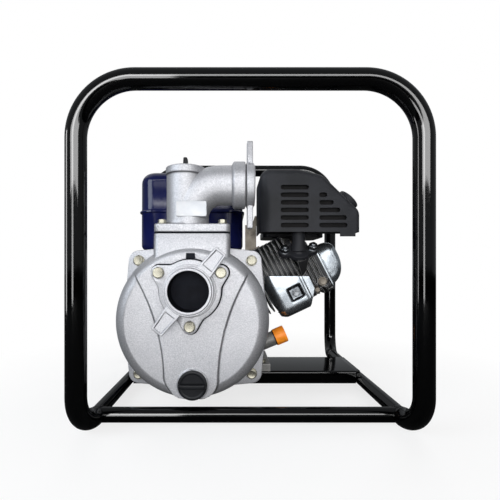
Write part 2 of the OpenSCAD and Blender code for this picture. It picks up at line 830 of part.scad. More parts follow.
module cylinder_head() {
    color("#a4a19b") on_cylinder() difference() {
        union() {
            grow_u(head_u0, head_u0 + 9) head_outline();
            for (i = [0:2]) grow_u(head_u0 + 13 + 8 * i, head_u0 + 16 + 8 * i) translate([0, -2 * i]) head_outline();
            grow_u(head_u0 + 8, head_u1 - 6) translate([barrel_y, -18]) round_rect(70, 92, 14);
            grow_u(head_u1 - 7, head_u1) translate([barrel_y, cover_v]) round_rect(78, 84, 12);
            translate([side_bolt_u, barrel_y - 46, side_bolt_v]) cyl_y(9, 20);
            intersection() {
                union() {
                    on_exhaust_port() translate([0, 0, -46]) cylinder(r = 18, h = 42);
                    translate([port_u - 1, 30, -2]) cyl_y(20, 23);
                }
                translate([head_u0, -80, -100]) cube([head_u1 - head_u0, 150, 200]);
            }
        }
        translate([side_bolt_u, barrel_y - 47, side_bolt_v]) cyl_y(3.2, 12);
        at_head_bolts() {
            cylinder(r = 9, h = 40);
            translate([0, 0, -8]) cylinder(r = 3.2, h = 10, $fn = 24);
        }
        on_exhaust_port() translate([0, 0, -32]) cylinder(r = 9.5, h = 40);
        translate([port_u - 1, 40, -2]) cyl_y(10, 16);
        translate([port_u + 5, 30, cover_v]) cyl_y(7, 40);
    }
}

module head_bolts() {
    color("#cfcdc2") on_cylinder() at_head_bolts() {
        hex_head(12, 6, 7.4);
        translate([0, 0, -7.5]) cylinder(r = 3, h = 8, $fn = 24);
    }
    color("#cfcdc2") on_cylinder() translate([side_bolt_u, barrel_y - 46, side_bolt_v]) {
        rotate([90, 0, 0]) hex_head(11, 4, 7.5);
        cyl_y(3, 9);
    }
}

module valve_cover() {
    color("#c8cac9") on_cylinder() translate([head_u1, 0, 0]) {
        grow_u(0, 3) translate([barrel_y, cover_v]) round_rect(80, 84, 12);
        grow_u(2, 24) translate([barrel_y, cover_v]) round_rect(68, 72, 16);
        grow_u(23, 31) translate([barrel_y, cover_v + 2]) round_rect(60, 62, 16);
        grow_u(30, 36) translate([barrel_y, cover_v + 5]) round_rect(48, 46, 16);
    }
}

shield_u0 = 131;
shield_u1 = 187;
shield_top = 192;
dimple_u = 144;
dimple_v = -58;
dimple = 24;
shield_sheet = 1.5;
shield_y = -47;

// Section of the heat shield: front sheet, rounded lower edge, floor under the fins
module shield_section() {
    bend = 16;
    low = -78;
    difference() {
        union() {
            translate([shield_y, low + bend]) square([shield_sheet, 8 - low - bend]);
            translate([shield_y + bend, low]) square([60, shield_sheet]);
            translate([shield_y + bend, low + bend]) circle(r = bend);
        }
        translate([shield_y + bend, low + bend]) circle(r = bend - shield_sheet);
        translate([shield_y + bend, low + bend]) square([60, 60]);
        translate([shield_y + shield_sheet, low + bend]) square([60, 60]);
        translate([shield_y + bend, low + shield_sheet]) square([60, 60]);
    }
}

// The sheet with its slanting left fold, cut level along the top and at a slant below on the right
module shield_sheet_form() {
    fold = 9;
    fold_y = shield_y + 7.5;
    difference() {
        union() {
            grow_u(shield_u0, shield_u1) shield_section();
            translate([0, 0, -61]) linear_extrude(height = 69)
                polygon([[shield_u0 - fold, fold_y], [shield_u0 + 0.5, shield_y],
                    [shield_u0 + 2.5, shield_y], [shield_u0 - fold + 2, fold_y]]);
        }
        rotate([0, cyl_tilt, 0]) translate([-100, -100, shield_top - crank_z]) cube([500, 200, 200]);
        translate([0, -80, 0]) grow_y(160) polygon([[shield_u1 + 1, -52], [170, -81], [shield_u1 + 1, -81]]);
        translate([172, shield_y - 1, -70]) cube([5, 1.6, 120]);
    }
}

module heat_shield() {
    color("#d5d8d8") on_cylinder() difference() {
        union() {
            shield_sheet_form();
            translate([dimple_u, shield_y, dimple_v]) cube([dimple, 8, dimple]);
            translate([shield_u0 + 8, -20, -76.6]) cube([6, 30, fin_low + 76.6]);
        }
        translate([dimple_u + 2, shield_y - 1, dimple_v + 2]) cube([dimple - 4, 7, dimple - 4]);
        translate([dimple_u + dimple / 2, shield_y - 1, dimple_v + dimple / 2]) cyl_y(3.2, 20);
    }
}

module shield_bolt() {
    color("#cfcdc2") on_cylinder() translate([dimple_u + dimple / 2, shield_y + 6, dimple_v + dimple / 2]) {
        rotate([90, 0, 0]) hex_head(10, 4.4, 6.5);
        cyl_y(3, 2);
    }
}

module spark_plug() {
    color("#d8d5cc") on_cylinder() translate([port_u + 5, 44, cover_v]) {
        cyl_y(6.8, 10);
        translate([0, 9, 0]) rotate([-90, 0, 0]) cylinder(d = 20.6 / cos(30), h = 10, $fn = 6);
        translate([0, 18, 0]) cyl_y(5, 20);
    }
}

module spark_plug_cap() {
    color("#1b1b1d") on_cylinder() translate([port_u + 5, 64, cover_v]) difference() {
        union() {
            cyl_y(9, 34);
            translate([0, 26, 0]) cyl_x(8, 26);
        }
        translate([0, -1, 0]) cyl_y(5.1, 21);
    }
}

pipe_r = 10.5;
nut_x = 23;
nut_y = 3.5;
exhaust_x = crank_x + port_u * cos(cyl_tilt) - port_v * sin(cyl_tilt);
exhaust_z = crank_z + port_u * sin(cyl_tilt) + port_v * cos(cyl_tilt);
muffler_z0 = 266;

// Places children on the exhaust port, in the object's own directions but leaning with the port
module on_exhaust() {
    translate([exhaust_x, port_y0, exhaust_z]) rotate([port_lean, 0, 0]) children();
}

module exhaust_flange() {
    for (s = [-1, 1]) translate([s * nut_x, s * nut_y]) circle(r = 9);
    circle(r = 18.5);
    rotate(8.6) square([46, 18], center = true);
}

// Leaning flange with an upright pipe into the muffler
module exhaust_pipe() {
    flange_h = 4;
    color("#26272a") difference() {
        union() {
            on_exhaust() translate([0, 0, -flange_h]) linear_extrude(height = 2 * flange_h) exhaust_flange();
            translate([exhaust_x, port_y0, exhaust_z - 14])
                cylinder(r = pipe_r, h = muffler_z0 - exhaust_z + 14);
            translate([exhaust_x, port_y0, exhaust_z]) cylinder(r1 = 14, r2 = pipe_r - 0.5, h = 16);
        }
        on_exhaust() translate([-40, -40, -flange_h - 60]) cube([80, 80, 60]);
        on_exhaust() for (s = [-1, 1]) translate([s * nut_x, s * nut_y, -20]) cylinder(r = 4.2, h = 40);
    }
}

module exhaust_nuts() {
    color("#d6d6cf") on_exhaust() for (s = [-1, 1]) translate([s * nut_x, s * nut_y, 4]) {
        hex_head(13, 6.5, 8);
        translate([0, 0, -7.8]) cylinder(r = 4, h = 19);
    }
}

guard_x = 22;
guard_z = 262;
guard_y = -84;
sheet_t = 1.5;
slope_x0 = 58;
slope_z1 = 33;
crown_x = 38;
crown_z = 10.6;
slope_a = atan2(guard_h - crown_z - slope_z1, slope_x0);
crown_a = atan2(crown_z, crown_x);

// Shift of a corner between edges that fall at angles a and b, for an outline 1 mm further in
function mitre(a, b) = [sin(a) + sin(b), cos(a) + cos(b)] / (1 + cos(a - b));

// Front outline of the muffler guard: round upper left corner, falling top, long slope at the right;
// in is the distance inside the outside skin
module guard_outline(in) {
    corner = 14;
    w = guard_w;
    h = guard_h;
    intersection() {
        union() {
            translate([in, -60]) square([w - 2 * in, 60 + h - corner - in]);
            translate([in + corner, -60]) square([w - 2 * in - corner, 60 + h - in]);
            translate([corner + in, h - corner - in]) circle(r = corner);
        }
        polygon([[-1, -70], [w - in, -70], [w, slope_z1] - in * mitre(slope_a, 90),
            [w - slope_x0, h - crown_z] - in * mitre(crown_a, slope_a),
            [w - slope_x0 - crown_x, h] - in * mitre(0, crown_a), [-1, h - in]]);
    }
}

// Plan of the guard: large round front left edge
module guard_plan(in) {
    edge = 20;
    difference() {
        translate([in, in]) square([guard_w - 2 * in, guard_l + 1]);
        translate([in, in]) square([edge, edge]);
    }
    translate([edge + in, edge + in]) circle(r = edge);
}

// Side view of the guard: round front top edge
module guard_side(in, z0) {
    edge = 14;
    difference() {
        translate([in, z0]) square([guard_l + 2, guard_h - in - z0]);
        translate([in, guard_h - in - edge]) square(edge);
    }
    translate([in + edge, guard_h - in - edge]) circle(r = edge);
}

module guard_solid(in, z0) {
    intersection() {
        grow_y(guard_l + (in > 0 ? 1 : 0)) guard_outline(in);
        translate([0, 0, z0]) linear_extrude(height = guard_h - z0 + 1) guard_plan(in);
        rotate([90, 0, 90]) linear_extrude(height = guard_w) guard_side(in, z0);
    }
}

slot_x0 = 32;
slot_x1 = 92;
slot_l = 43.6;
outlet_u = 139.5;
outlet_w = guard_h - crown_z - (outlet_u - guard_w + slope_x0) * tan(slope_a);
outlet_y = 29;
outlet_r = 18;

// Places children on the exhaust outlet axis, local +Z out of the sloping face
module on_outlet() {
    translate([guard_x + outlet_u, guard_y + outlet_y, guard_z + outlet_w])
        rotate([0, slope_a, 0]) children();
}

module muffler_guard() {
    first_z = guard_h - 30.5;
    color("#303237") difference() {
        union() {
            translate([guard_x, guard_y, guard_z]) difference() {
                guard_solid(0, 0);
                guard_solid(sheet_t, -60);
            }
            translate([guard_x + guard_w - 26, guard_y, guard_z - 7]) cube([26, sheet_t, 8]);
        }
        translate([guard_x, guard_y - 1, guard_z]) grow_y(sheet_t + 2) {
            for (i = [0:5]) translate([slot_x0 + slot_l / 2, first_z - i * slot_pitch])
                slot(slot_l, slot_h);
            for (i = [1:5]) translate([slot_x1 + min(slot_l, i * 10.2 + 1.8) / 2, first_z - i * slot_pitch])
                slot(min(slot_l, i * 10.2 + 1.8), slot_h);
        }
        on_outlet() translate([0, 0, -20]) cylinder(r = outlet_r + 0.5, h = 40);
    }
}

// Muffler box inside the guard; in is the distance inside the guard's outside skin
module muffler_box(in, y0, y1, z0) {
    intersection() {
        translate([0, y0, 0]) grow_y(y1 - y0) intersection() {
            guard_outline(in);
            translate([0, z0]) square([guard_w, guard_h]);
        }
        translate([0, 0, -10]) linear_extrude(height = guard_h + 20) guard_plan(in);
    }
}

module muffler() {
    body_y = 8;
    body_in = 5;
    wall = 1.8;
    z0 = muffler_z0 - guard_z;
    color("#2a2b2e") difference() {
        translate([guard_x, guard_y, guard_z]) {
            muffler_box(body_in, body_y, guard_l - 8, z0);
            for (z = [16, 62]) translate([86, sheet_t, z]) cyl_y(4, body_y);
            translate([27, sheet_t, 40]) cyl_y(4, body_y);
        }
        translate([guard_x, guard_y, guard_z])
            muffler_box(body_in + wall, body_y + wall, guard_l - 8 - wall, z0 + wall);
        on_outlet() translate([0, 0, -12]) cylinder(r = outlet_r - 4, h = 12);
    }
}

module exhaust_outlet() {
    color("#1e1f21") on_outlet() translate([0, 0, -4.9]) difference() {
        cylinder(r = outlet_r, h = 15);
        translate([0, 0, 1.5]) cylinder(r = outlet_r - 2, h = 20);
    }
}

tank_x0 = -192;
tank_y0 = 2;
seam_z = 70;
tank_cx = tank_x0 + tank_w / 2;
tank_cy = tank_y0 + tank_l / 2;
filler_r = 24;

// Tank shape: round plan, round upper edges; in is the distance inside the outside skin
module tank_shape(in, z0, z1) {
    plan_r = 30;
    edge = 20;
    w = tank_w - 6 - 2 * in;
    l = tank_l - 6 - 2 * in;
    h = z1 - in;
    intersection() {
        translate([0, 0, z0]) linear_extrude(height = h - z0) round_rect(w, l, plan_r - in);
        translate([0, l / 2 + 1, 0]) rotate([90, 0, 0]) linear_extrude(height = l + 2)
            translate([0, h - 100]) round_rect(w, 200, edge);
        translate([-w / 2 - 1, 0, 0]) rotate([90, 0, 90]) linear_extrude(height = w + 2)
            translate([0, h - 100]) round_rect(l, 200, edge);
    }
}

module fuel_tank() {
    skin = 3;
    color("#20245f") translate([tank_cx, tank_cy, tank_z]) difference() {
        union() {
            tank_shape(0, 0, tank_h);
            translate([0, 0, seam_z - 2]) linear_extrude(height = 4) round_rect(tank_w, tank_l, 32);
            translate([0, 0, tank_h - 4]) cylinder(r = filler_r, h = 10);
        }
        tank_shape(skin, skin, tank_h);
        translate([0, 0, tank_h - 10]) cylinder(r = filler_r - 4, h = 20);
    }
}

module fuel_cap() {
    color("#191a1d") translate([tank_cx, tank_cy, tank_z + tank_h]) difference() {
        union() {
            translate([0, 0, 0.6]) cylinder(r = filler_r + 6, h = 19);
            for (a = [0:30:330]) rotate(a) translate([filler_r + 5.5, 0, 3]) cylinder(r = 2.5, h = 14, $fn = 24);
        }
        translate([0, 0, -1]) cylinder(r = filler_r + run_gap, h = 7.2);
    }
}

bracket_y = 14;
lever_x = 14;
lever_z = 270;

module control_bracket() {
    color("#bdb9ab") {
        difference() {
            translate([2, bracket_y, lever_z - 48]) cube([20, 2, 61]);
            on_cylinder() translate([60, -60, fin_top - 60]) cube([140, 140, 61]);
        }
        on_cylinder() translate([108, bracket_y + 0.5, fin_top]) cube([34, 12, 2.4]);
    }
}

module throttle_lever() {
    color("#c6c3b6") translate([lever_x, bracket_y - 1.8, lever_z]) {
        cyl_y(6, 1.5);
        translate([0, -3, 0]) rotate([90, 0, 0]) translate([0, 0, -3.2]) cylinder(r = 4, h = 3);
        rotate([0, 18, 0]) translate([-4, 0, 0]) cube([8, 1.5, 30]);
    }
}

intake_z = crank_z + 127.6;
carb_x = 76;
carb_y = 56;

module carburettor() {
    color("#9b9ea2") difference() {
        union() {
            translate([carb_x - 24, carb_y - 2.8, intake_z - 56]) cube([46, 38.8, 44]);
            translate([carb_x, carb_y + 18, intake_z - 86]) cylinder(r = 20, h = 31);
            translate([carb_x, carb_y + 18, intake_z - 13]) cylinder(r = 18, h = 13);
        }
        translate([carb_x, carb_y + 18, intake_z - 22]) cylinder(r = 13, h = 30);
    }
}

module choke_lever() {
    color("#1d1d1f") translate([carb_x + 22.2, carb_y + 18, intake_z - 22]) {
        cyl_x(4, 3);
        translate([0, -3, 0]) cube([3, 6, 20]);
    }
}

module fuel_valve_lever() {
    color("#3a3b3e") translate([carb_x + 22.2, carb_y + 18, intake_z - 46]) {
        cyl_x(4.5, 3);
        translate([0, 0, -3]) cube([3, 24, 6]);
    }
}

cleaner_x = 92;
cleaner_y = 74;
cleaner_w = 112;
cleaner_l = 100;

module air_cleaner_base() {
    color("#202124") difference() {
        translate([cleaner_x, cleaner_y, intake_z]) linear_extrude(height = 12)
            round_rect(cleaner_w, cleaner_l, 16);
        translate([carb_x, carb_y + 18, intake_z - 1]) cylinder(r = 13, h = 20);
    }
}

module air_cleaner_cover() {
    color("#24252a") translate([cleaner_x, cleaner_y, intake_z + 12]) difference() {
        union() {
            linear_extrude(height = 78) round_rect(cleaner_w - 4, cleaner_l - 4, 16);
            translate([0, 0, 77]) linear_extrude(height = 10) round_rect(cleaner_w - 24, cleaner_l - 24, 14);
        }
        translate([0, 0, -1]) linear_extrude(height = 76) round_rect(cleaner_w - 10, cleaner_l - 10, 13);
        translate([0, 0, 70]) cylinder(r = 3 + run_gap, h = 30);
    }
}

module wing_nut() {
    color("#1b1b1d") translate([cleaner_x, cleaner_y, intake_z + 99.3]) {
        cylinder(r = 9, h = 9);
        for (s = [-1, 1]) translate([s * 9 - 5, -2, 2]) cube([10, 4, 12]);
        translate([0, 0, -12]) cylinder(r = 3, h = 14);
    }
}

fan_r = 92;
shroud_sheet = 2;

module shroud_outline(in) {
    circle(r = fan_r - in, $fn = 96);
    rotate(cyl_tilt) translate([0, -50 + in]) square([124 - in, 100 - 2 * in]);
}

module fan_shroud() {
    color("#1e2258") on_shaft(0) difference() {
        translate([0, block_y1, 0]) grow_y(shroud_y1 - block_y1) shroud_outline(0);
        translate([0, block_y1 - 1, 0]) grow_y(shroud_y1 - block_y1 - 1) shroud_outline(shroud_sheet);
        translate([0, shroud_y1 - 10, 0]) cyl_y(72, 20);
    }
}

module recoil_cover() {
    color("#1e2258") on_shaft(0) difference() {
        union() {
            translate([0, shroud_y1, 0]) cyl_y(82, 6);
            translate([0, shroud_y1 + 5, 0]) cyl_y(76, recoil_y1 - shroud_y1 - 5);
            translate([40, shroud_y1 + 8, 48]) cube([40, 28, 22]);
        }
        translate([0, shroud_y1 - 1, 0]) cyl_y(73, recoil_y1 - shroud_y1 - 2);
        for (a = [0:30:330]) rotate([0, a, 0]) translate([34, recoil_y1 - 8, -5]) cube([28, 12, 10]);
    }
}

module starter_grip() {
    color("#19191b") on_shaft(0) translate([80.4, shroud_y1 + 22, 59]) {
        cyl_x(5, 14);
        translate([12, -19, -7]) cube([12, 38, 14]);
    }
}

module flywheel() {
    rim_r = 84;
    color("#7e8185") on_shaft(0) difference() {
        union() {
            translate([0, 84, 0]) cyl_y(rim_r, 16);
            for (a = [0:18:342]) rotate([0, a, 0]) translate([50, 99, -2]) cube([rim_r - 54, 26, 4]);
            translate([0, 74, 0]) cyl_y(24, 50);
            translate([0, 124, 0]) cyl_y(40, 20);
        }
        translate([0, 70, 0]) cyl_y(shaft_fan_r, 70);
        translate([0, 127, 0]) cyl_y(36, 20);
    }
}

module engine_switch() {
    color("#b3271e") on_shaft(0) translate([105, shroud_y1 + 0.2, 25]) {
        cyl_y(5, 5);
        translate([-3, 3, -10]) cube([6, 6, 20]);
    }
}

// Drawing

front_hoop();
rear_hoop();
left_runner();
right_runner();
front_cross_tube();
rear_cross_tube();
engine_base_plate();
engine_mount_bolts();
pump_casing();
check_valve_gasket();
check_valve_flap();
suction_flange();
suction_flange_bolts();
suction_coupling_ring();
drain_plug();
outlet_gasket();
discharge_elbow();
elbow_bolts();
priming_plug();
discharge_coupling_ring();
pump_back_plate();
casing_bolts();
adapter_bolts();
volute();
impeller();
mechanical_seal();
crankshaft();
main_bearings();
crankcase();
crankcase_cover();
cover_bolts();
oil_filler_cap();
oil_drain_bolt();
cylinder_head();
head_bolts();
valve_cover();
heat_shield();
shield_bolt();
spark_plug();
spark_plug_cap();
exhaust_pipe();
exhaust_nuts();
muffler();
muffler_guard();
exhaust_outlet();
fuel_tank();
fuel_cap();
control_bracket();
throttle_lever();
carburettor();
choke_lever();
fuel_valve_lever();
air_cleaner_base();
air_cleaner_cover();
wing_nut();
fan_shroud();
recoil_cover();
starter_grip();
flywheel();
engine_switch();
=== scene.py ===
"""Portable fire pump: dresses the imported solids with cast, plated, painted and moulded surfaces."""

import json

import bmesh
import bpy
import numpy as np
from bpy.props import FloatProperty, FloatVectorProperty, PointerProperty
from bpy.types import Operator, Panel, PropertyGroup
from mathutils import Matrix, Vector

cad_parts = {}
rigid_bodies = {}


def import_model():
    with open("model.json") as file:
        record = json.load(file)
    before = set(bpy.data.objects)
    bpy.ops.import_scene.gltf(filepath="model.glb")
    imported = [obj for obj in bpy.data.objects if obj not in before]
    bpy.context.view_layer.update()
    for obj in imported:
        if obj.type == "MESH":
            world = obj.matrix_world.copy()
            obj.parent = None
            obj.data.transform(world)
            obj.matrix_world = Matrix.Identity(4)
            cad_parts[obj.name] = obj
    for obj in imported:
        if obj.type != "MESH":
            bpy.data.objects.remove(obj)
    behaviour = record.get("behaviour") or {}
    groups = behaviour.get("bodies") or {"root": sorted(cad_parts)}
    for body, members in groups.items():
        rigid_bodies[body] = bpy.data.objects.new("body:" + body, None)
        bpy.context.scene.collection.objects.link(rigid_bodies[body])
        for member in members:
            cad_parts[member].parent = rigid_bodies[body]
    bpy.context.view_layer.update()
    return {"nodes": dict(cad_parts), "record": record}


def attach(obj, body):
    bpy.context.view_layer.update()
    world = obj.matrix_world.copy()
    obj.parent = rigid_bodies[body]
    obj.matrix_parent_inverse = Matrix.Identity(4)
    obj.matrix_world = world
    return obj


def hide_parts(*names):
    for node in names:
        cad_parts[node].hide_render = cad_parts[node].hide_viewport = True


bl_info = {
    "name": "Portable fire pump",
    "version": (1, 0, 0),
    "blender": (4, 5, 0),
    "location": "View3D > Sidebar > Fire pump",
    "description": "Builds the visible surfaces of a portable fire pump on its packed solids",
    "category": "Object",
}

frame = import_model()
NODES = frame["nodes"]
BODY_OF = {node: body for body, nodes in frame["record"]["behaviour"]["bodies"].items() for node in nodes}
X, Y, Z = np.eye(3)

# Places in millimetres, in the frame of the solids
SHAFT = np.array([-75.5, 0.0, 134.4])
PORT = SHAFT + (0.0, 0.0, 43.0)
DRAIN = SHAFT + (2.5, 0.0, -80.5)
EAR_BOLT, LOBE_BOLT, NECK_W, NECK_D = 82.5, 46.0, 103.0, 58.0
FACE_Y, JOINT_Y, BOSS_Y, GASKET_Y, FLANGE_Y, COLLAR_Y = -174.0, -108.0, -179.0, -181.5, -189.5, -208.0
NECK_TOP = 253.0
ELBOW_X, RISER_X, ELBOW_Y, OUTLET_X, OUTLET_Z = -82.0, -87.0, -137.0, 10.0, 322.5
ELBOW_Z0, ELBOW_Z1, TOWER_TOP, PLUG_SEAT = 255.0, 266.0, 347.0, 342.4
TILT = np.radians(27.0)
UP = np.array([np.cos(TILT), 0.0, np.sin(TILT)])
ACROSS = np.array([-np.sin(TILT), 0.0, np.cos(TILT)])
BARREL_Y, HEAD_U, COVER_V, COVER_Y = 5.0, 218.0, -30.0, -30.0
EXHAUST = SHAFT + 188.0 * UP + 14.0 * ACROSS - 60.0 * Y
EXHAUST_OUT = np.array([0.0, -np.sqrt(0.5), np.sqrt(0.5)])
GUARD = np.array([22.0, -84.0, 262.0])

# Angles in degrees above which an edge is rounded
EDGE_ANGLE, SHEET_ANGLE = 38.0, 50.0


# Numbers and colours


def linear(code):
    """sRGB hex to linear RGBA: c / 12.92 for dark values, ((c + 0.055) / 1.055) ^ 2.4 for the rest."""
    c = np.array([int(code[i:i + 2], 16) for i in (1, 3, 5)]) / 255.0
    return (*np.where(c <= 0.04045, c / 12.92, ((c + 0.055) / 1.055) ** 2.4).tolist(), 1.0)


def ramp(x, low, high):
    """Smooth step: 0 below low, 1 above high, 3t^2 - 2t^3 between."""
    t = np.clip((x - low) / (high - low), 0.0, 1.0)
    return t * t * (3.0 - 2.0 * t)


def circle(count):
    """Equal angles round a full turn."""
    return np.linspace(0, 2 * np.pi, count, endpoint=False)


def unit(vectors):
    """Vectors divided by their lengths."""
    return vectors / np.linalg.norm(vectors, axis=-1, keepdims=True)


def run_along(points):
    """Distance of each point along its polyline."""
    return np.concatenate([[0.0], np.cumsum(np.linalg.norm(np.diff(points, axis=0), axis=1))])


def mm(group, *names):
    """Named lengths of a property group in millimetres."""
    return [getattr(group, name) * 1000 for name in names]


def length(name, description, default):
    """A length property, its default given in millimetres."""
    return FloatProperty(name=name, description=description, default=default * 0.001, min=0.0, precision=4,
                         unit="LENGTH")


def colour(name, description, code):
    """A colour property; code is its default in sRGB hex."""
    return FloatVectorProperty(name=name, description=description, default=linear(code), size=4,
                               min=0.0, max=1.0, subtype="COLOR")


class CageSizes(PropertyGroup):
    """Sizes of the tube cage."""
    tube_radius: length("Tube radius", "Outside radius of the cage tube", 12.7)
    hoop_bend: length("Hoop bend", "Bend radius at the top corners of a hoop", 71.0)
    foot_bend: length("Foot bend", "Bend radius where a leg turns back into its foot", 40.0)
    foot_inset: length("Foot inset", "Distance of the runners inside the hoop legs", 6.5)
    runner_radius: length("Runner radius", "Outside radius of the runners", 9.5)
    cross_radius: length("Cross tube radius", "Outside radius of the cross tubes", 10.0)
    weld_radius: length("Weld bead", "Radius of the weld beads", 1.6)


class PumpSizes(PropertyGroup):
    """Sizes of the pump castings."""
    casing_radius: length("Casing radius", "Outside radius of the pump casing", 105.0)
    shoulder: length("Shoulder", "Width of the casing's rounded front edge", 16.5)
    shield_rise: length("Shield rise", "Height of the raised shield on the casing front", 2.5)
    cast_edge: length("Cast edge", "Rounding of the casting's edges", 1.4)
    bore: length("Port bore", "Bore radius of the hose ports", 25.4)
    collar: length("Collar radius", "Outside radius of the port collars", 29.0)
    ring: length("Ring radius", "Outside radius of the coupling rings", 31.5)
    wing_reach: length("Wing reach", "Distance from port axis to wing tip", 65.0)
    plug: length("Plug radius", "Radius of the screw plug heads", 19.25)
    pipe: length("Elbow radius", "Outside radius of the elbow pipe", 27.8)
    tower: length("Tower radius", "Outside radius of the priming tower", 26.5)


class EngineSizes(PropertyGroup):
    """Sizes of the engine's dressed parts."""
    tank_width: length("Tank width", "Width of the fuel tank over its seam", 193.0)
    tank_depth: length("Tank depth", "Depth of the fuel tank over its seam", 178.0)
    tank_height: length("Tank height", "Height of the fuel tank without its filler neck", 144.0)
    tank_edge: length("Tank edge", "Rounding of the tank's upper edges", 20.0)
    cover_rise: length("Cover rise", "Height of the valve cover's dome", 36.0)
    sheet: length("Sheet", "Thickness of the heat shield and the muffler guard", 1.5)
    guard_edge: length("Guard edge", "Rounding of the muffler guard's right front edges", 7.0)
    guard_left: length("Guard left edge", "Rounding of the muffler guard's left front edge", 18.0)


class FinishColours(PropertyGroup):
    """Main colour of each finish."""
    enamel: colour("Gloss enamel", "Black enamel on the cage", "#0b0c0f")
    casting: colour("Sand casting", "Painted sand casting of the pump", "#c6c6c9")
    machined: colour("Machined face", "Raised pad of the discharge elbow", "#c2c3c5")
    zinc: colour("Zinc plate", "Plated bolts and nuts", "#b3b0a1")
    sheet: colour("Zinc sheet", "Plated heat shield and valve cover", "#c9d0d6")
    alloy: colour("Engine alloy", "Die-cast crankcase and head", "#8d8c8a")
    navy: colour("Navy enamel", "Gloss paint of the tank and the fan housing", "#0f1338")
    matt_black: colour("Heat paint", "Matt black paint of muffler and guard", "#1f2023")
    plastic: colour("Black plastic", "Moulded caps, plugs and covers", "#0e0f12")
    rubber: colour("Rubber", "Gaskets and the valve flap", "#0c0d12")
    orange: colour("Orange plastic", "Oil filler cap", "#ff9a2c")
    red: colour("Red plastic", "Engine switch", "#a81d16")
    steel: colour("Ground steel", "Shaft, bearings and exhaust nuts", "#8d9094")
    iron: colour("Cast iron", "Flywheel, impeller and volute", "#5f6266")
    ceramic: colour("Ceramic", "Spark plug", "#d8d5cc")


# Surfaces


def triad(axis):
    """Two unit vectors across axis, and axis itself, right-handed."""
    n = unit(np.asarray(axis, float))
    e1 = unit(np.cross(X if abs(n[2]) > 0.9 else Z, n))
    return e1, np.cross(n, e1), n


def grid_faces(rows, cols, wrap_rows=False, wrap_cols=False):
    """Quads between neighbours of a rows by cols grid; wrapping joins the last line to the first."""
    i, j = np.meshgrid(np.arange(rows - (not wrap_rows)), np.arange(cols - (not wrap_cols)), indexing="ij")
    k, m = (i + 1) % rows, (j + 1) % cols
    return np.stack([i * cols + j, i * cols + m, k * cols + m, k * cols + j], -1).reshape(-1, 4).tolist()


def capped_faces(rows, cols):
    """Quads of a closed wall of rows rings, with one face on each end."""
    first, last = range(cols), range((rows - 1) * cols, rows * cols)
    return grid_faces(rows, cols, False, True) + [list(first), list(last)]


def filleted(corners, radii, arc=6, closed=False):
    """Polyline with its corners rounded: each arc touches both sides at radius / tan(half angle) from the
    corner."""
    c = np.asarray(corners, float)
    count = len(c)
    radii = np.array(np.broadcast_to(radii, count), float)
    if not closed:
        radii[[0, -1]] = 0.0
    out = []
    for i in range(count):
        if radii[i] <= 0:
            out.append(c[i:i + 1])
            continue
        a, b = c[i - 1] - c[i], c[(i + 1) % count] - c[i]
        la, lb = np.linalg.norm(a), np.linalg.norm(b)
        a, b = a / la, b / lb
        half = np.arccos(np.clip(a @ b, -1, 1)) / 2
        share = [0.5 if radii[k % count] > 0 else 1.0 for k in (i - 1, i + 1)]
        reach = min(radii[i] / np.tan(half), 0.999 * share[0] * la, 0.999 * share[1] * lb)
        r = reach * np.tan(half)
        middle = c[i] + (a + b) / np.linalg.norm(a + b) * r / np.sin(half)
        v0, v1 = c[i] + a * reach - middle, c[i] + b * reach - middle
        span = np.pi - 2 * half
        s = np.linspace(0, 1, arc + 1)[:, None]
        out.append(middle + (np.sin((1 - s) * span) * v0 + np.sin(s * span) * v1) / np.sin(span))
    return np.concatenate(out)


def round_rect(w, h, r, arc=8):
    """Rectangle w by h about the origin with quarter-circle corners of radius r, anticlockwise."""
    return filleted([(-w / 2, -h / 2), (w / 2, -h / 2), (w / 2, h / 2), (-w / 2, h / 2)], r, arc, True)


def lathe(profile, origin, axis, steps=96, loop=False, shading=()):
    """Surface of revolution: every profile point (radius, height) carried round the axis through origin.
    Painted shade darkens the surface within about 1.5 mm of the given crease points, where the profile is
    cut into steps of 1 mm at most."""
    e1, e2, n = triad(axis)
    profile = np.asarray(profile, float)
    if shading:
        run = run_along(profile)
        at = np.union1d(run, np.arange(0.0, run[-1], 1.0))
        profile = np.stack([np.interp(at, run, profile[:, k]) for k in (0, 1)], 1)
        gap = np.linalg.norm(profile[:, None] - np.asarray(shading, float)[None], axis=2).min(axis=1)
    turn = circle(steps)[:, None]
    ring = np.cos(turn) * e1 + np.sin(turn) * e2
    points = np.asarray(origin, float) + profile[:, 1, None, None] * n + profile[:, 0, None, None] * ring
    made = points.reshape(-1, 3), grid_faces(len(profile), steps, loop, True)
    return made + (np.repeat(0.85 * np.exp(-(gap / 1.5) ** 2), steps),) if shading else made


def tube(path, radius, steps=40):
    """Round tube: a circle of the given radius carried along a path, square to it, with capped ends. A fixed
    slanting direction, never along the path, keeps the circles from turning over."""
    path = np.asarray(path, float)
    along = unit(np.gradient(path, axis=0))
    side = unit(np.cross(along, (1.0, 1.0, 1.0)))
    turn = circle(steps)[None, :, None]
    up = np.cross(side, along)
    points = path[:, None] + radius * (np.cos(turn) * side[:, None] + np.sin(turn) * up[:, None])
    return points.reshape(-1, 3), capped_faces(len(path), steps)


def stack(outline, levels, origin, ex, ey, ez):
    """Lofted block: a closed outline repeated at levels (inset, height, scale), each ring drawn in along its
    own normals by inset and scaled about the middle, then capped at both ends."""
    outline = np.asarray(outline, float)
    step = np.roll(outline, -1, 0) - np.roll(outline, 1, 0)
    out = np.stack([step[:, 1], -step[:, 0]], 1) / np.linalg.norm(step, axis=1, keepdims=True)
    levels = np.array([(*level, 1.0)[:3] for level in levels])
    ring = (outline[None] - levels[:, 0, None, None] * out[None]) * levels[:, 2, None, None]
    points = np.asarray(origin, float) + ring[..., :1] * ex + ring[..., 1:] * ey
    points = points + levels[:, 1, None, None] * ez
    return points.reshape(-1, 3), capped_faces(len(levels), len(outline))


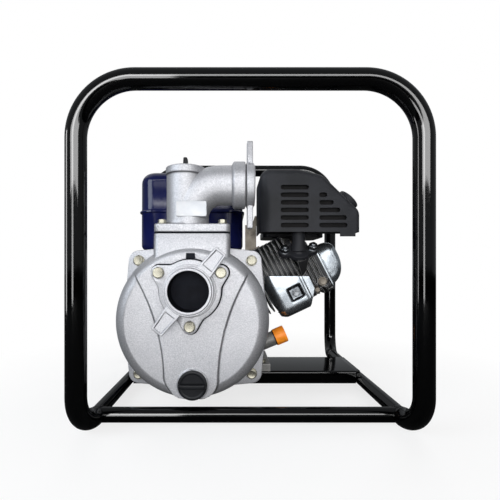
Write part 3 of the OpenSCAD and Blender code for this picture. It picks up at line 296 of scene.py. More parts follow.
def soft_levels(low, high, edge, steps=3):
    """Levels of a plate from low to high whose rims are quarter circles of radius edge."""
    a = np.linspace(0, np.pi / 2, steps + 1)
    start = [(edge * (1 - np.sin(t)), low + edge * (1 - np.cos(t))) for t in a]
    return start + [(i, low + high - h) for i, h in reversed(start)]


def polar_plate(outer, inner, low, high, origin, ex, ey, ez, edge=0.8, shading=0.0):
    """Plate with a hole: for each angle a closed section runs from the inner radius to the outer radius
    outer(angle), with small rounds at its four corners and painted shade, of the given strength, on its
    outer wall."""
    n = len(outer)
    turn = circle(n)[:, None]
    ring = np.cos(turn) * ex + np.sin(turn) * ey
    sections = []
    for at_outer, drawn, height in ((0, 1, low), (1, 1, low), (1, 0.3, low + 0.3 * edge), (1, 0, low + edge),
                                    (1, 0, high - edge), (1, 0.3, high - 0.3 * edge), (1, 1, high),
                                    (0, 1, high), (0, 0, high - edge), (0, 0, low + edge)):
        radius = outer - drawn * edge if at_outer else np.full(n, inner + drawn * edge)
        sections.append(np.asarray(origin, float) + radius[:, None] * ring + height * ez)
    painted_shade = np.repeat(shading * np.array([0, 0, 0.5, 1, 1, 1, 1, 0, 0, 0]), n)
    return np.stack(sections).reshape(-1, 3), grid_faces(len(sections), n, True, True), painted_shade


def hex_head(origin, axis, flats, height, washer, washer_t=1.6):
    """Hexagon head on a washer face: the radius at each angle is the smaller of the hexagon and a 30 degree
    cone."""
    e1, e2, n = triad(axis)
    turn = circle(48)
    apothem, chamfer, top, dish = flats / 2, 0.4, washer_t + height, 0.25
    hexagon = apothem / np.cos((turn + np.pi / 6) % (np.pi / 3) - np.pi / 6)
    corner = apothem / np.cos(np.pi / 6)
    cone = corner - 0.9 * apothem
    fall = cone * 0.577
    rows = [(0, 0), (0, washer - chamfer), (chamfer, washer), (washer_t - chamfer, washer),
            (washer_t, washer - chamfer), (washer_t, hexagon * 1.01), (washer_t + 0.3, hexagon)]
    rows += [(top - fall * (1 - t), np.minimum(hexagon, corner - cone * t)) for t in np.linspace(0, 1, 5)]
    rows += [(top, 0.85 * apothem), (top - dish, 0.72 * apothem), (top - dish, 0)]
    ring = np.cos(turn)[:, None] * e1 + np.sin(turn)[:, None] * e2
    points = np.stack([np.asarray(origin, float) + h * n + np.broadcast_to(r, 48)[:, None] * ring
                       for h, r in rows])
    return points.reshape(-1, 3), grid_faces(len(rows), 48, False, True)


def shank(origin, axis, radius, reach):
    """Plain bolt shank with a small end chamfer, turned about its axis."""
    profile = [(0, 0), (radius, 0), (radius, reach - 0.8), (radius - 0.8, reach), (0, reach)]
    return lathe(profile, origin, axis, 32)


def bolt(place, axis, head, stud=None, nut=None):
    """Hexagon head (flats, height, washer) facing along axis, its shank (radius, reach) behind it, and a nut
    whose first number is its distance along the shank."""
    parts = [hex_head(place, axis, *head)]
    if stud:
        parts.append(shank(place, -axis, *stud))
    if nut:
        parts.append(hex_head(place - nut[0] * axis, -axis, *nut[1:]))
    return parts


def add_piece(name, parts, finish, replaces=(), body=None, sharp=32.0):
    """Joins surfaces given in millimetres, each with the painted shade of its points if it has any, into one
    mesh in metres, merges doubles, turns faces outwards, and makes the piece ride on the body of the solids
    that it stands for."""
    points, faces, painted_shade, base = [], [], [], 0
    for p, f, *shade_mask in parts:
        points.append(p)
        faces.extend([[i + base for i in face] for face in f])
        painted_shade.append(np.ravel(shade_mask[0]) if shade_mask else np.zeros(len(p)))
        base += len(p)
    mesh = bpy.data.meshes.new(name)
    mesh.from_pydata(np.concatenate(points) * 0.001, [], faces)
    mesh.attributes.new("painted_shade", "FLOAT", "POINT").data.foreach_set("value", np.concatenate(painted_shade))
    bm = bmesh.new()
    bm.from_mesh(mesh)
    bmesh.ops.remove_doubles(bm, verts=bm.verts, dist=2e-6)
    bmesh.ops.dissolve_degenerate(bm, edges=bm.edges, dist=1e-7)
    bmesh.ops.recalc_face_normals(bm, faces=bm.faces)
    bm.to_mesh(mesh)
    bm.free()
    mesh.shade_smooth()
    mesh.set_sharp_from_angle(angle=np.radians(sharp))
    return link_piece(name, mesh, finish, replaces, body)


def link_piece(name, mesh, finish, replaces=(), body=None):
    """Links a mesh as a piece with its finish, its body and the solids that it stands for."""
    obj = bpy.data.objects.new(name, mesh)
    bpy.context.scene.collection.objects.link(obj)
    mesh.materials.clear()
    mesh.materials.append(bpy.data.materials[finish])
    nodes = [replaces] if isinstance(replaces, str) else list(replaces)
    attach(obj, body or BODY_OF[nodes[0]])
    if nodes:
        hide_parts(*nodes)
    return obj


def bevel_edges(obj, width, angle):
    """Rounds the edges sharper than an angle in degrees by a width in millimetres."""
    bevel = obj.modifiers.new("Edge", "BEVEL")
    bevel.width = width * 0.001
    bevel.segments = 2
    bevel.limit_method = "ANGLE"
    bevel.angle_limit = np.radians(angle)
    bevel.harden_normals = True
    return bevel


def softened(node, finish, width, worn_and_lit=None):
    """Copy of a solid, merged, its flat triangles joined into faces, with its edges rounded by a bevel. An
    edge finish, where given, shows on the rounded edges as rubbed wear with a painted highlight, and painted
    shade then darkens what stands further than 75 mm up the cylinder, for the shade between the fins."""
    mesh = NODES[node].data.copy()
    bm = bmesh.new()
    bm.from_mesh(mesh)
    bmesh.ops.remove_doubles(bm, verts=bm.verts, dist=2e-6)
    bmesh.ops.dissolve_limit(bm, angle_limit=np.radians(0.4), verts=bm.verts, edges=bm.edges)
    bm.to_mesh(mesh)
    bm.free()
    mesh.shade_smooth()
    mesh.set_sharp_from_angle(angle=np.radians(EDGE_ANGLE))
    bevel = bevel_edges(link_piece(node + "_soft", mesh, finish, node), width, EDGE_ANGLE)
    bevel.use_clamp_overlap = False
    if worn_and_lit:
        points = np.empty(3 * len(mesh.vertices))
        mesh.vertices.foreach_get("co", points)
        # Painted shade over the fin block, for the shade between the fins
        fin_shade = np.where((points.reshape(-1, 3) * 1000 - SHAFT) @ UP > 75.0, 0.95, 0.0)
        mesh.attributes.new("painted_shade", "FLOAT", "POINT").data.foreach_set("value", fin_shade)
        mesh.materials.append(bpy.data.materials[worn_and_lit])
        bevel.material = 1


# Materials


def add_node(tree, kind, inputs=None, **settings):
    """Adds a node; settings are its attributes, inputs its socket values or the sockets to link from."""
    node = tree.nodes.new(kind)
    for key, value in settings.items():
        setattr(node, key, value)
    for key, value in (inputs or {}).items():
        if isinstance(value, bpy.types.NodeSocket):
            tree.links.new(value, node.inputs[key])
        else:
            node.inputs[key].default_value = value
    return node


def fresh_tree(owner):
    """Empty node tree of a material or world."""
    owner.use_nodes = True
    owner.node_tree.nodes.clear()
    return owner.node_tree


def make_finish(name, base, tint, mottle, grain, relief, rough, speckle=0.0, unshaded=False, **shader):
    """Surface finish: colour drifts from base to tint over mottle millimetres, and with the grain where it is
    speckled; a grain of the given millimetres sets roughness between the two rough values and lifts the
    surface by relief millimetres. Unless the flag after speckle is set, painted shade read from a point
    attribute darkens the places that carry it: shade painted into creases, along steps and on walls turned
    from the light."""
    tree = fresh_tree(bpy.data.materials.new(name))
    where = add_node(tree, "ShaderNodeTexCoord").outputs["Object"]
    drift = add_node(tree, "ShaderNodeTexNoise", {"Vector": where, "Scale": 1000.0 / mottle, "Detail": 4.0})
    grit = add_node(tree, "ShaderNodeTexNoise", {"Vector": where, "Scale": 1000.0 / grain, "Detail": 2.0})
    spread = add_node(tree, "ShaderNodeMapRange",
                      {"Value": drift.outputs["Fac"], "From Min": 0.35, "From Max": 0.65}).outputs["Result"]
    fleck = add_node(tree, "ShaderNodeMapRange",
                     {"Value": grit.outputs["Fac"], "From Min": 0.3, "From Max": 0.7}).outputs["Result"]
    spread = add_node(tree, "ShaderNodeMix", {"Factor": speckle, "A": spread, "B": fleck}).outputs["Result"]
    paint = add_node(tree, "ShaderNodeMix", {"Factor": spread, "A": base, "B": linear(tint)},
                     data_type="RGBA")
    if not unshaded:
        # Painted shade: the point attribute mixes the colour towards dark grey where shade falls
        shade_mask = add_node(tree, "ShaderNodeAttribute", attribute_name="painted_shade")
        paint = add_node(tree, "ShaderNodeMix", {"Factor": shade_mask.outputs["Fac"], "A": paint.outputs["Result"],
                                                 "B": linear("#27282b")}, data_type="RGBA")
    rough = add_node(tree, "ShaderNodeMapRange", {"Value": grit.outputs["Fac"], "From Min": 0.3,
                                                  "From Max": 0.7, "To Min": rough[0], "To Max": rough[1]})
    bump = add_node(tree, "ShaderNodeBump", {"Height": grit.outputs["Fac"], "Distance": relief * 0.001,
                                             "Strength": 1.0})
    shader = {key.replace("_", " ").title().replace("Ior", "IOR"): value for key, value in shader.items()}
    body = add_node(tree, "ShaderNodeBsdfPrincipled",
                    {"Base Color": paint.outputs["Result"], "Roughness": rough.outputs["Result"],
                     "Normal": bump.outputs["Normal"], **shader})
    add_node(tree, "ShaderNodeOutputMaterial", {"Surface": body.outputs["BSDF"]})


# Finish of the solids that are kept as they are, all of them inside the pump and engine
INSIDE = {
    "Ground steel": ("crankshaft", "main_bearings", "mechanical_seal"),
    "Cast iron": ("volute", "impeller", "flywheel"),
    "Zinc plate": ("adapter_bolts",),
    "Rubber": ("check_valve_flap",),
}

# Finish and edge rounding in millimetres of the solids shown as rounded copies
ROUNDED = {
    "pump_back_plate": ("Sand casting", 1.2),
    "outlet_gasket": ("Rubber", 0.4),
    "crankcase": ("Engine alloy", 0.3),
    "crankcase_cover": ("Engine alloy", 1.5),
    "cylinder_head": ("Engine alloy", 0.3),
    "spark_plug": ("Ceramic", 0.5),
    "spark_plug_cap": ("Rubber", 1.0),
    "exhaust_pipe": ("Heat paint", 1.0),
    "muffler": ("Sooted steel", 1.5),
    "exhaust_outlet": ("Heat paint", 0.5),
    "fuel_cap": ("Black plastic", 1.2),
    "control_bracket": ("Dull steel", 0.4),
    "throttle_lever": ("Dull steel", 0.3),
    "carburettor": ("Engine alloy", 1.2),
    "choke_lever": ("Black plastic", 0.5),
    "fuel_valve_lever": ("Black plastic", 0.5),
    "air_cleaner_base": ("Black plastic", 1.5),
    "air_cleaner_cover": ("Black plastic", 3.0),
    "wing_nut": ("Black plastic", 0.8),
    "fan_shroud": ("Navy enamel", 1.5),
    "recoil_cover": ("Navy enamel", 2.0),
    "starter_grip": ("Black plastic", 2.5),
    "engine_switch": ("Red plastic", 0.8),
}

# Finish of the rounded edges of the finned solids: rubbed wear, lightened as a painted highlight
WORN_AND_LIT = {"crankcase": "Bare alloy", "cylinder_head": "Bare alloy"}


class FIREPUMP_OT_finishes(Operator):
    """Makes the finishes and gives them to the solids inside the pump and engine."""
    bl_idname = "firepump.finishes"
    bl_label = "Finishes"

    def execute(self, context):
        c = context.scene.firepump_colours
        # Stoved gloss enamel on steel tube: deep black, mirror highlights, faint orange peel of 3 mm
        make_finish("Gloss enamel", c.enamel, "#101114", 60, 3.0, 0.004, (0.06, 0.10))
        # Aluminium paint over a sand casting: pale grey, satin, with a grit drawn at 1.3 mm so that it shows
        make_finish("Sand casting", c.casting, "#9fa0a5", 40, 1.3, 0.07, (0.42, 0.54), 0.85, metallic=0.7)
        # Faced aluminium: smoother than the casting and less of a metal, with a fine grain
        make_finish("Machined face", c.machined, "#b4b7bc", 18, 1.2, 0.03, (0.30, 0.42), metallic=0.25)
        # Zinc plate with yellow passivation: pale straw metal, slightly cloudy
        make_finish("Zinc plate", c.zinc, "#8f8c7f", 12, 0.9, 0.002, (0.24, 0.32), metallic=0.9)
        # Zinc-plated sheet: bright bluish silver with soft cloudy spangle
        make_finish("Zinc sheet", c.sheet, "#a4abb2", 16, 2.5, 0.001, (0.22, 0.28), metallic=0.95)
        # Bare die-cast aluminium: mid grey, dull, lightly pitted
        make_finish("Engine alloy", c.alloy, "#757472", 20, 1.4, 0.05, (0.40, 0.56), 0.5, metallic=0.5)
        # Die-cast aluminium rubbed bright at its edges and lightened as a painted highlight on the lit fin
        # rims:
        # pale grey, satin, free of painted shade
        make_finish("Bare alloy", linear("#d8d7d4"), "#bdbcba", 9, 1.0, 0.02, (0.34, 0.46), 0.5, True,
                    metallic=0.6)
        # Gloss navy paint on pressed steel: deep blue, shiny, very faint peel
        make_finish("Navy enamel", c.navy, "#131846", 70, 3.5, 0.006, (0.10, 0.15), specular_ior_level=0.25)
        # Heat-resistant matt paint: charcoal, chalky, fine spray grain
        make_finish("Heat paint", c.matt_black, "#26272b", 30, 1.2, 0.04, (0.44, 0.58),
                    specular_ior_level=0.22)
        # Muffler steel burnt dull black, with a dry sooty bloom
        make_finish("Sooted steel", linear("#121112"), "#0b0b0b", 20, 1.4, 0.03, (0.6, 0.75),
                    specular_ior_level=0.2)
        # Moulded polypropylene: black, satin, spark-eroded grain
        make_finish("Black plastic", c.plastic, "#141518", 25, 1.0, 0.03, (0.30, 0.42),
                    specular_ior_level=0.25)
        # Moulded nitrile rubber: dead black, soft sheen
        make_finish("Rubber", c.rubber, "#12141a", 18, 1.1, 0.03, (0.60, 0.75), specular_ior_level=0.12)
        # Pigmented polypropylene: strong orange, satin
        make_finish("Orange plastic", c.orange, "#fb8c1c", 15, 1.0, 0.02, (0.32, 0.42))
        # Pigmented polypropylene: red, satin
        make_finish("Red plastic", c.red, "#98180f", 15, 1.0, 0.02, (0.32, 0.42))
        # Turned and ground steel: smooth grey metal, faintly clouded
        make_finish("Ground steel", c.steel, "#7f8286", 12, 0.8, 0.01, (0.20, 0.32), metallic=1.0)
        # Bare pressed steel handled with oily fingers: brownish grey, dull, blotched
        make_finish("Dull steel", linear("#8a8379"), "#6b645b", 8, 1.0, 0.02, (0.36, 0.5), 0.3, metallic=0.7)
        # Grey iron casting: dark, rough, dry
        make_finish("Cast iron", c.iron, "#505357", 15, 1.5, 0.08, (0.50, 0.66), metallic=0.7)
        # Glazed ceramic: warm white, glossy
        make_finish("Ceramic", c.ceramic, "#cfccc2", 15, 2.0, 0.01, (0.12, 0.2))
        for finish, nodes in INSIDE.items():
            for node in nodes:
                NODES[node].data.materials.clear()
                NODES[node].data.materials.append(bpy.data.materials[finish])
        return {"FINISHED"}


class FIREPUMP_OT_rounded(Operator):
    """Shows the plain engine solids as copies with rounded edges."""
    bl_idname = "firepump.rounded"
    bl_label = "Rounded solids"

    def execute(self, context):
        for node, (finish, width) in ROUNDED.items():
            softened(node, finish, width, worn_and_lit=WORN_AND_LIT.get(node))
        return {"FINISHED"}


class FIREPUMP_OT_cage(Operator):
    """Bends the hoops from tube, welds in the runners and cross tubes, and lays the engine base plate."""
    bl_idname = "firepump.cage"
    bl_label = "Tube cage"

    def execute(self, context):
        s = context.scene.firepump_cage
        r, runner, cross, bead = mm(s, "tube_radius", "runner_radius", "cross_radius", "weld_radius")
        corner, bend, inset = mm(s, "hoop_bend", "foot_bend", "foot_inset")
        half_w, half_l, top = 208.0, 220.0, 445.0 - r
        runner_x, foot_l = half_w - inset, np.sqrt(bend ** 2 - inset ** 2)
        a = np.linspace(-np.pi / 2, np.pi / 2, 17)
        ball = np.stack([r * np.cos(a), r * np.sin(a)], 1)
        for name, side in (("front_hoop", 1), ("rear_hoop", -1)):
            y, end = -side * half_l, side * (foot_l - half_l)
            path = filleted([(-runner_x, end, r), (-half_w, y, r), (-half_w, y, top), (half_w, y, top),
                             (half_w, y, r), (runner_x, end, r)],
                            (0, bend, corner, corner, bend, 0), 28)
            parts = [tube(path, r)] + [lathe(ball, (x, end, r), Y, 40) for x in (-runner_x, runner_x)]
            add_piece(name + "_tube", parts, "Gloss enamel", name)
        turn = circle(72)
        for name, x in (("left_runner", -runner_x), ("right_runner", runner_x)):
            reach = half_l - foot_l
            parts = [tube([(x, -reach, r), (x, 0, r), (x, reach, r)], runner)]
            for side in (-1, 1):
                y = side * (reach - np.sqrt(r * r - runner ** 2))
                seam = np.stack([x + runner * np.cos(turn), np.full(72, y), r + runner * np.sin(turn)], 1)
                parts.append(bead_ring(seam, bead, np.array([x, seam[0, 1], r])))
            add_piece(name + "_tube", parts, "Gloss enamel", name)
        level = r - 1.2
        for name, y in (("front_cross_tube", -169.0), ("rear_cross_tube", 32.0)):
            end = runner_x - 5.0
            parts = [tube([(-end, y, level), (0, y, level), (end, y, level)], cross)]
            for side in (-1, 1):
                up = level + cross * np.sin(turn) - r
                seam = np.stack([side * (runner_x - np.sqrt(np.maximum(runner ** 2 - up * up, 9.0))),
                                 y + cross * np.cos(turn), np.maximum(up + r, 1.2 * bead)], 1)
                parts.append(bead_ring(seam, bead, np.array([runner_x * side, y, level])))
            add_piece(name + "_welded", parts, "Gloss enamel", name)
        sheet, front, back = 3.0, -22.0, 84.0
        depth, middle = back - front - 8.0, (front + back) / 2
        low, top = 2 * r - 18.0, 2 * r + sheet
        fold = filleted([(front, top), (front, low), (front + sheet, low), (front + sheet, top - sheet),
                         (back - sheet, top - sheet), (back - sheet, low), (back, low), (back, top)],
                        (4.0, 0.8, 0.8, 1.5, 1.5, 0.8, 0.8, 4.0), 6, True)
        reach = runner_x - runner - 1.0
        parts = [stack(fold, [(0, -reach), (0, reach)], (0, 0, 0), Y, Z, X),
                 stack(round_rect(2 * (runner_x - 2.0), depth, 1.0),
                       soft_levels(top - sheet - 0.05, top - 0.05, 0.6), (0, middle, 0), X, Y, Z)]
        for side in (-1, 1):
            parts.append(stack(round_rect(6.0, depth, 0.5), soft_levels(top - 10.0, top - 1.5, 0.5),
                               (side * (runner_x - 5.0), middle, 0), X, Y, Z))
        add_piece("engine_base_plate_folded", parts, "Gloss enamel", "engine_base_plate")
        return {"FINISHED"}


def bead_ring(seam, radius, middle):
    """Weld bead: a small circle carried round a closed seam, its size swelling by an eighth every few
    millimetres."""
    along = unit(np.roll(seam, -1, 0) - np.roll(seam, 1, 0))
    out = seam - middle
    out = unit(out - (out * along).sum(1, keepdims=True) * along)
    side = np.cross(along, out)
    turn = circle(12)[None, :, None]
    r = radius * (1 + 0.12 * np.sin(np.arange(len(seam)) * 2.1))[:, None, None]
    points = seam[:, None] + r * (np.cos(turn) * out[:, None] + np.sin(turn) * side[:, None])
    return points.reshape(-1, 3), grid_faces(len(seam), 12, True, True)


def casing_front(radius, shoulder, rise):
    """Casing front: a polar sheet whose section runs over the flat face, a round shoulder that starts at a
    slant of 20 degrees, and the side wall. The sheet is lifted by rise inside the waisted shield, where the
    distance to two large side circles is positive, and inside the U of the drain boss, each with a smooth
    step and a groove along its foot; painted shade darkens the groove."""
    face_r = radius - shoulder
    slant = np.radians(20.0)
    a = np.linspace(slant, np.pi / 2, 16)[1:]
    bulge = shoulder / (1 - np.sin(slant))
    r = np.concatenate([np.linspace(0, face_r, 88), radius - bulge * (1 - np.sin(a)), np.full(5, radius)])
    y = np.concatenate([np.full(88, FACE_Y), FACE_Y + bulge * (np.cos(slant) - np.cos(a)),
                        np.linspace(FACE_Y + bulge * np.cos(slant), JOINT_Y, 6)[1:]])
    turn = circle(600)
    x, z = r[:, None] * np.cos(turn), r[:, None] * np.sin(turn)
    depth = np.broadcast_to(y[:, None], x.shape)
    side_x, side_z, side_r = 313.0, -80.0, 278.0
    waist = np.hypot(np.abs(x) - side_x, z - side_z) - side_r
    fade = ramp(face_r + 7.0 - r, -7.0, 7.0)[:, None]
    shield = ramp(waist, -0.9, 0.9) * fade * ramp(z, -74.0, -70.0)
    low = ramp(-z, 72.0, 90.0)
    off = np.abs(x - 2.0 * low)
    drain_edge = np.where(z < -78.0, 23.0 - np.hypot(np.maximum(off - 12.0 + 2.0 * low, 0.0), z + 78.0),
                          35.0 - off)
    drain = ramp(drain_edge, -1.0, 1.0) * ramp(-z, 62.0, 66.0)
    lift = np.maximum(shield, drain)
    depth = depth + (FACE_Y - rise - depth) * lift
    line = np.where(z > -74.0, np.exp(-((waist + 1.0) / 0.9) ** 2) * fade,
                    np.exp(-((drain_edge + 1.0) / 0.9) ** 2))
    depth = depth + 0.8 * line
    plug_x, _, plug_z = DRAIN - SHAFT
    seat_r, seat_rise = 20.25, 4.0
    seat = ramp(seat_r - np.hypot(x - plug_x, z - plug_z), -0.5, 0.5)
    depth = depth + (FACE_Y - seat_rise - depth) * seat
    points = np.stack([x + SHAFT[0], depth, z + SHAFT[2]], -1)
    faces = np.array(grid_faces(len(r), 600, False, True))
    middle = points.reshape(-1, 3)[faces].mean(1)
    open_port = np.hypot(middle[:, 0] - PORT[0], middle[:, 2] - PORT[2]) > 35.5
    # The third item is painted shade along the grooves at the foot of each step
    return points.reshape(-1, 3), faces[open_port].tolist(), 0.75 * line


def ear_outline(radius, bolt, ear):
    """Disc with four bolt ears: ear arcs about the bolts, joined to the disc by lines that touch both
    circles."""
    lean = np.arccos((radius - ear) / (bolt * np.sqrt(2)))
    a = np.linspace(np.pi / 4 - lean, np.pi / 4 + lean, 24)
    b = np.linspace(np.pi / 4 + lean, 3 * np.pi / 4 - lean, 8)[1:-1]
    quarter = np.concatenate([bolt + ear * np.stack([np.cos(a), np.sin(a)], 1),
                              radius * np.stack([np.cos(b), np.sin(b)], 1)])
    turn = np.radians(90.0 * np.arange(4))
    spin = np.stack([np.stack([np.cos(turn), -np.sin(turn)], 1),
                     np.stack([np.sin(turn), np.cos(turn)], 1)], 1)
    return np.einsum("kij,nj->kni", spin, quarter).reshape(-1, 2)


def lobes(turn, grow=0.0):
    """Outline radius of a three-lobed flange: a 40 mm circle, and three 10 mm lobe circles joined by touching
    lines to a 32 mm circle, taken together as a smooth maximum; everything stands out by grow."""
    disc, base, lobe, reach = 40.0 + grow, 32.0 + grow, 10.0 + grow, LOBE_BOLT
    off = np.abs((turn + np.pi / 6) % (2 * np.pi / 3) - np.pi / 3)
    lean = np.arccos((base - lobe) / reach)
    touch = np.arctan2(lobe * np.sin(lean), reach + lobe * np.cos(lean))
    tip = reach * np.cos(off) + np.sqrt(np.maximum(lobe ** 2 - (reach * np.sin(off)) ** 2, 0))
    arm = np.where(off < touch, tip, base / np.cos(np.maximum(lean - off, 0)))
    return np.logaddexp(disc, arm)


class FIREPUMP_OT_casing(Operator):
    """Casts the pump casing: shielded front, neck box and eared flange."""
    bl_idname = "firepump.casing"
    bl_label = "Pump casing"

    def execute(self, context):
        s = context.scene.firepump_pump
        radius, shoulder, rise, edge = mm(s, "casing_radius", "shoulder", "shield_rise", "cast_edge")
        front = casing_front(radius, shoulder, rise)
        ears = stack(ear_outline(radius, EAR_BOLT, 15.0), soft_levels(JOINT_Y - 9, JOINT_Y, edge), SHAFT,
                     X, Z, Y)
        top = NECK_TOP - SHAFT[2]
        levels = [(0, 60), (0, 100), (0, top - edge), (0.3 * edge, top - 0.3 * edge), (edge, top)]
        points, faces = stack(round_rect(NECK_W, NECK_D, 8), levels, (SHAFT[0], ELBOW_Y, SHAFT[2]), X, Y, Z)
        lean = 8.0 * ramp(NECK_TOP - points[:, 2], 0, 40) * ramp(ELBOW_Y - points[:, 1], 10, NECK_D / 2)
        neck = points - lean[:, None] * Y, faces
        # Painted shade on the boss's outer wall, for the wall in shadow beside the flange
        boss = polar_plate(lobes(circle(240), 1.0), 32.5, BOSS_Y, FACE_Y + 1, (PORT[0], 0, PORT[2]), X, Z, Y,
                           shading=0.8)
        add_piece("casing_cast", [front, ears, neck, boss], "Sand casting", "pump_casing")
        return {"FINISHED"}


def wing(origin, out, across, back, root_r, tip_r):
    """Coupling wing: a rounded oblong section carried outwards while it narrows from 21 to 16 mm; its front
    sinks by 1.4 mm inside a 3 mm border and its tip closes in a quarter circle."""
    s = np.concatenate([np.linspace(0, 0.9, 24), 0.9 + 0.1 * np.sin(np.linspace(0, np.pi / 2, 7)[1:])])
    reach = root_r + (tip_r - root_r) * s
    close = np.sqrt(np.clip(1 - (np.clip(s - 0.955, 0, None) / 0.045) ** 2, 0, 1))
    width = 10.6 - 2.4 * s - 1.6 * (1 - close)
    t = np.linspace(-1, 1, 25)
    ring_t = np.concatenate([t, [1.0, 1.0], t[::-1], [-1.0, -1.0]])
    ring_d = np.concatenate([np.zeros(25), [0.35, 0.65], np.ones(25), [0.65, 0.35]])
    over = np.concatenate([np.ones(25), [0, 0], np.zeros(25), [0, 0]])
    side = ring_t[None] * width[:, None]
    border = ramp(width[:, None] - np.abs(side), 2.4, 3.4) * ramp(reach - root_r, 7.0, 8.5)[:, None]
    border = border * ramp(tip_r - reach, 2.6, 3.6)[:, None] * over[None]
    rim = np.clip((np.abs(ring_t) - 0.9) / 0.1, 0, 1) ** 2 * 0.8
    inward = np.where(ring_d < 0.5, 1, -1)[None]
    depth = ring_d[None] * 8.0 + inward * rim[None] * np.isin(ring_d, (0, 1))[None]
    depth = depth + 1.4 * border + inward * (1 - close)[:, None] * 0.9
    points = (np.asarray(origin, float) + reach[:, None, None] * out + side[..., None] * across
              + depth[..., None] * back)
    # The third item is painted shade in the step round the sunk front
    return points.reshape(-1, 3), capped_faces(*points.shape[:2]), 3.6 * border * (1 - border) * over


def winged_ring(origin, back, e1, e2, angles, inner, outer, tip):
    """Coupling ring: a turned band with chamfered rims, and one wing at each angle."""
    band = filleted([(inner + 0.06, 0.0), (outer, 0.0), (outer, 10.0), (inner + 0.06, 10.0)], 0.9, 3, True)
    parts = [lathe(band, origin, back, 96, True)]
    for angle in np.radians(angles):
        out = np.cos(angle) * e1 + np.sin(angle) * e2
        across = -np.sin(angle) * e1 + np.cos(angle) * e2
        parts.append(wing(np.asarray(origin) + 1.0 * back, out, across, back, outer - 2.0, tip))
    return parts


class FIREPUMP_OT_suction(Operator):
    """Builds the suction flange and its winged ring."""
    bl_idname = "firepump.suction"
    bl_label = "Suction port"

    def execute(self, context):
        s = context.scene.firepump_pump
        bore, collar, ring, tip = mm(s, "bore", "collar", "ring", "wing_reach")
        centre = np.array([PORT[0], 0.0, PORT[2]])
        turn = circle(240)
        # Painted shade on the flange's outer wall and in the crease where the collar meets the flange
        flange = polar_plate(lobes(turn), bore + 0.5, FLANGE_Y, GASKET_Y, centre, X, Z, Y, 1.2, 0.45)
        neck = lathe(filleted([(bore + 0.3, COLLAR_Y + 1.2), (bore + 0.3, COLLAR_Y), (collar, COLLAR_Y),
                               (collar, FLANGE_Y - 3), (34, FLANGE_Y - 3), (34, FLANGE_Y + 1)],
                              (0, 0.6, 0.8, 2.0, 1.0, 0), 4), centre, Y, shading=[(collar, FLANGE_Y - 3)])
        add_piece("suction_flange_cast", [flange, neck], "Sand casting", "suction_flange")
        gasket = polar_plate(lobes(turn, 1.6), 33.0, GASKET_Y, BOSS_Y, centre, X, Z, Y, 0.3)
        tab = stack(round_rect(11.5, 12.5, 1.0), [(0, GASKET_Y), (0, BOSS_Y)], centre + 42.25 * Z, X, Z, Y)
        add_piece("check_valve_gasket_sheet", [gasket, tab], "Rubber", "check_valve_gasket")
        # A thin black rubber sleeve lines the bore: painted shade for the dark inside of the port
        bore_shade = lathe(np.array([(bore, COLLAR_Y + 0.6), (bore, GASKET_Y - 0.5), (bore + 1.5, GASKET_Y - 0.5),
                              (bore + 1.5, COLLAR_Y + 0.6)]), centre, Y, 96, True)
        add_piece("suction_bore_shade", [bore_shade], "Rubber", body=BODY_OF["suction_flange"])
        parts = winged_ring(centre + (COLLAR_Y + 1.5) * Y, Y, X, Z, (51.0, 232.0), collar, ring, tip)
        add_piece("suction_ring_cast", parts, "Sand casting", "suction_coupling_ring")
        return {"FINISHED"}


class FIREPUMP_OT_elbow(Operator):
    """Builds the discharge elbow with its priming tower, and the winged ring on its outlet."""
    bl_idname = "firepump.elbow"
    bl_label = "Discharge elbow"

    def execute(self, context):
        s = context.scene.firepump_pump
        bore, collar, ring, tip = mm(s, "bore", "collar", "ring", "wing_reach")
        pipe, tower, edge, plug = mm(s, "pipe", "tower", "cast_edge", "plug")
        foot = stack(round_rect(NECK_W, NECK_D, 8), soft_levels(ELBOW_Z0, ELBOW_Z1, edge),
                     (SHAFT[0], ELBOW_Y, 0), X, Y, Z)
        path = filleted([(ELBOW_X, ELBOW_Y, ELBOW_Z0 + 3), (ELBOW_X, ELBOW_Y, OUTLET_Z),
                         (OUTLET_X - 20, ELBOW_Y, OUTLET_Z)], 45.0, 32)
        bend = tube(path, pipe, 64)
        end = np.array([OUTLET_X, ELBOW_Y, OUTLET_Z])
        # Painted shade gathers in the creases at the spout's collar and at its root on the pipe
        spout = lathe(filleted([(bore, -30), (bore, 0), (collar, 0), (collar, -13), (ring + 1.5, -13),
                                (ring + 1.5, -29), (pipe - 2, -33)], (0, 0.8, 0.8, 1.5, 2.0, 2.5, 0), 5),
                      end, X, shading=[(collar, -13), (pipe, -32.5)])
        foot_r, lip_r, well_r, thread_r = 28.4, tower + 1.2, plug + 0.5, 10.06
        seat, floor = PLUG_SEAT - 0.2, TOWER_TOP - 12
        # Painted shade gathers in the creases under the tower's lip and at its foot
        riser = lathe(filleted([(foot_r, ELBOW_Z1 - 2), (tower, ELBOW_Z1 + 5), (tower, TOWER_TOP - 11),
                                (lip_r, TOWER_TOP - 9.5), (lip_r, TOWER_TOP), (well_r, TOWER_TOP),
                                (well_r, seat), (thread_r, seat), (thread_r, floor), (0, floor)],
                               (0, 6, 1.0, 1.0, 2.0, 0.8, 0.3, 0.3, 0, 0), 5),
                      (RISER_X, ELBOW_Y, 0), Z, shading=[(tower, TOWER_TOP - 11), (foot_r, ELBOW_Z1)])
        add_piece("elbow_cast", [foot, bend, spout, riser], "Sand casting", "discharge_elbow")
        pad = stack(round_rect(41.5, 20.9, 2.0), soft_levels(-1.5 - tower, -8.0, 0.8),
                    (SHAFT[0] - 0.75, ELBOW_Y, 286.05), X, Z, Y)
        add_piece("elbow_pad", [pad], "Machined face", body=BODY_OF["discharge_elbow"])
        parts = winged_ring(end - 1.5 * X, -X, Y, Z, (90.0, 270.0), collar, ring, tip - 4.0)
        add_piece("discharge_ring_cast", parts, "Sand casting", "discharge_coupling_ring")
        return {"FINISHED"}


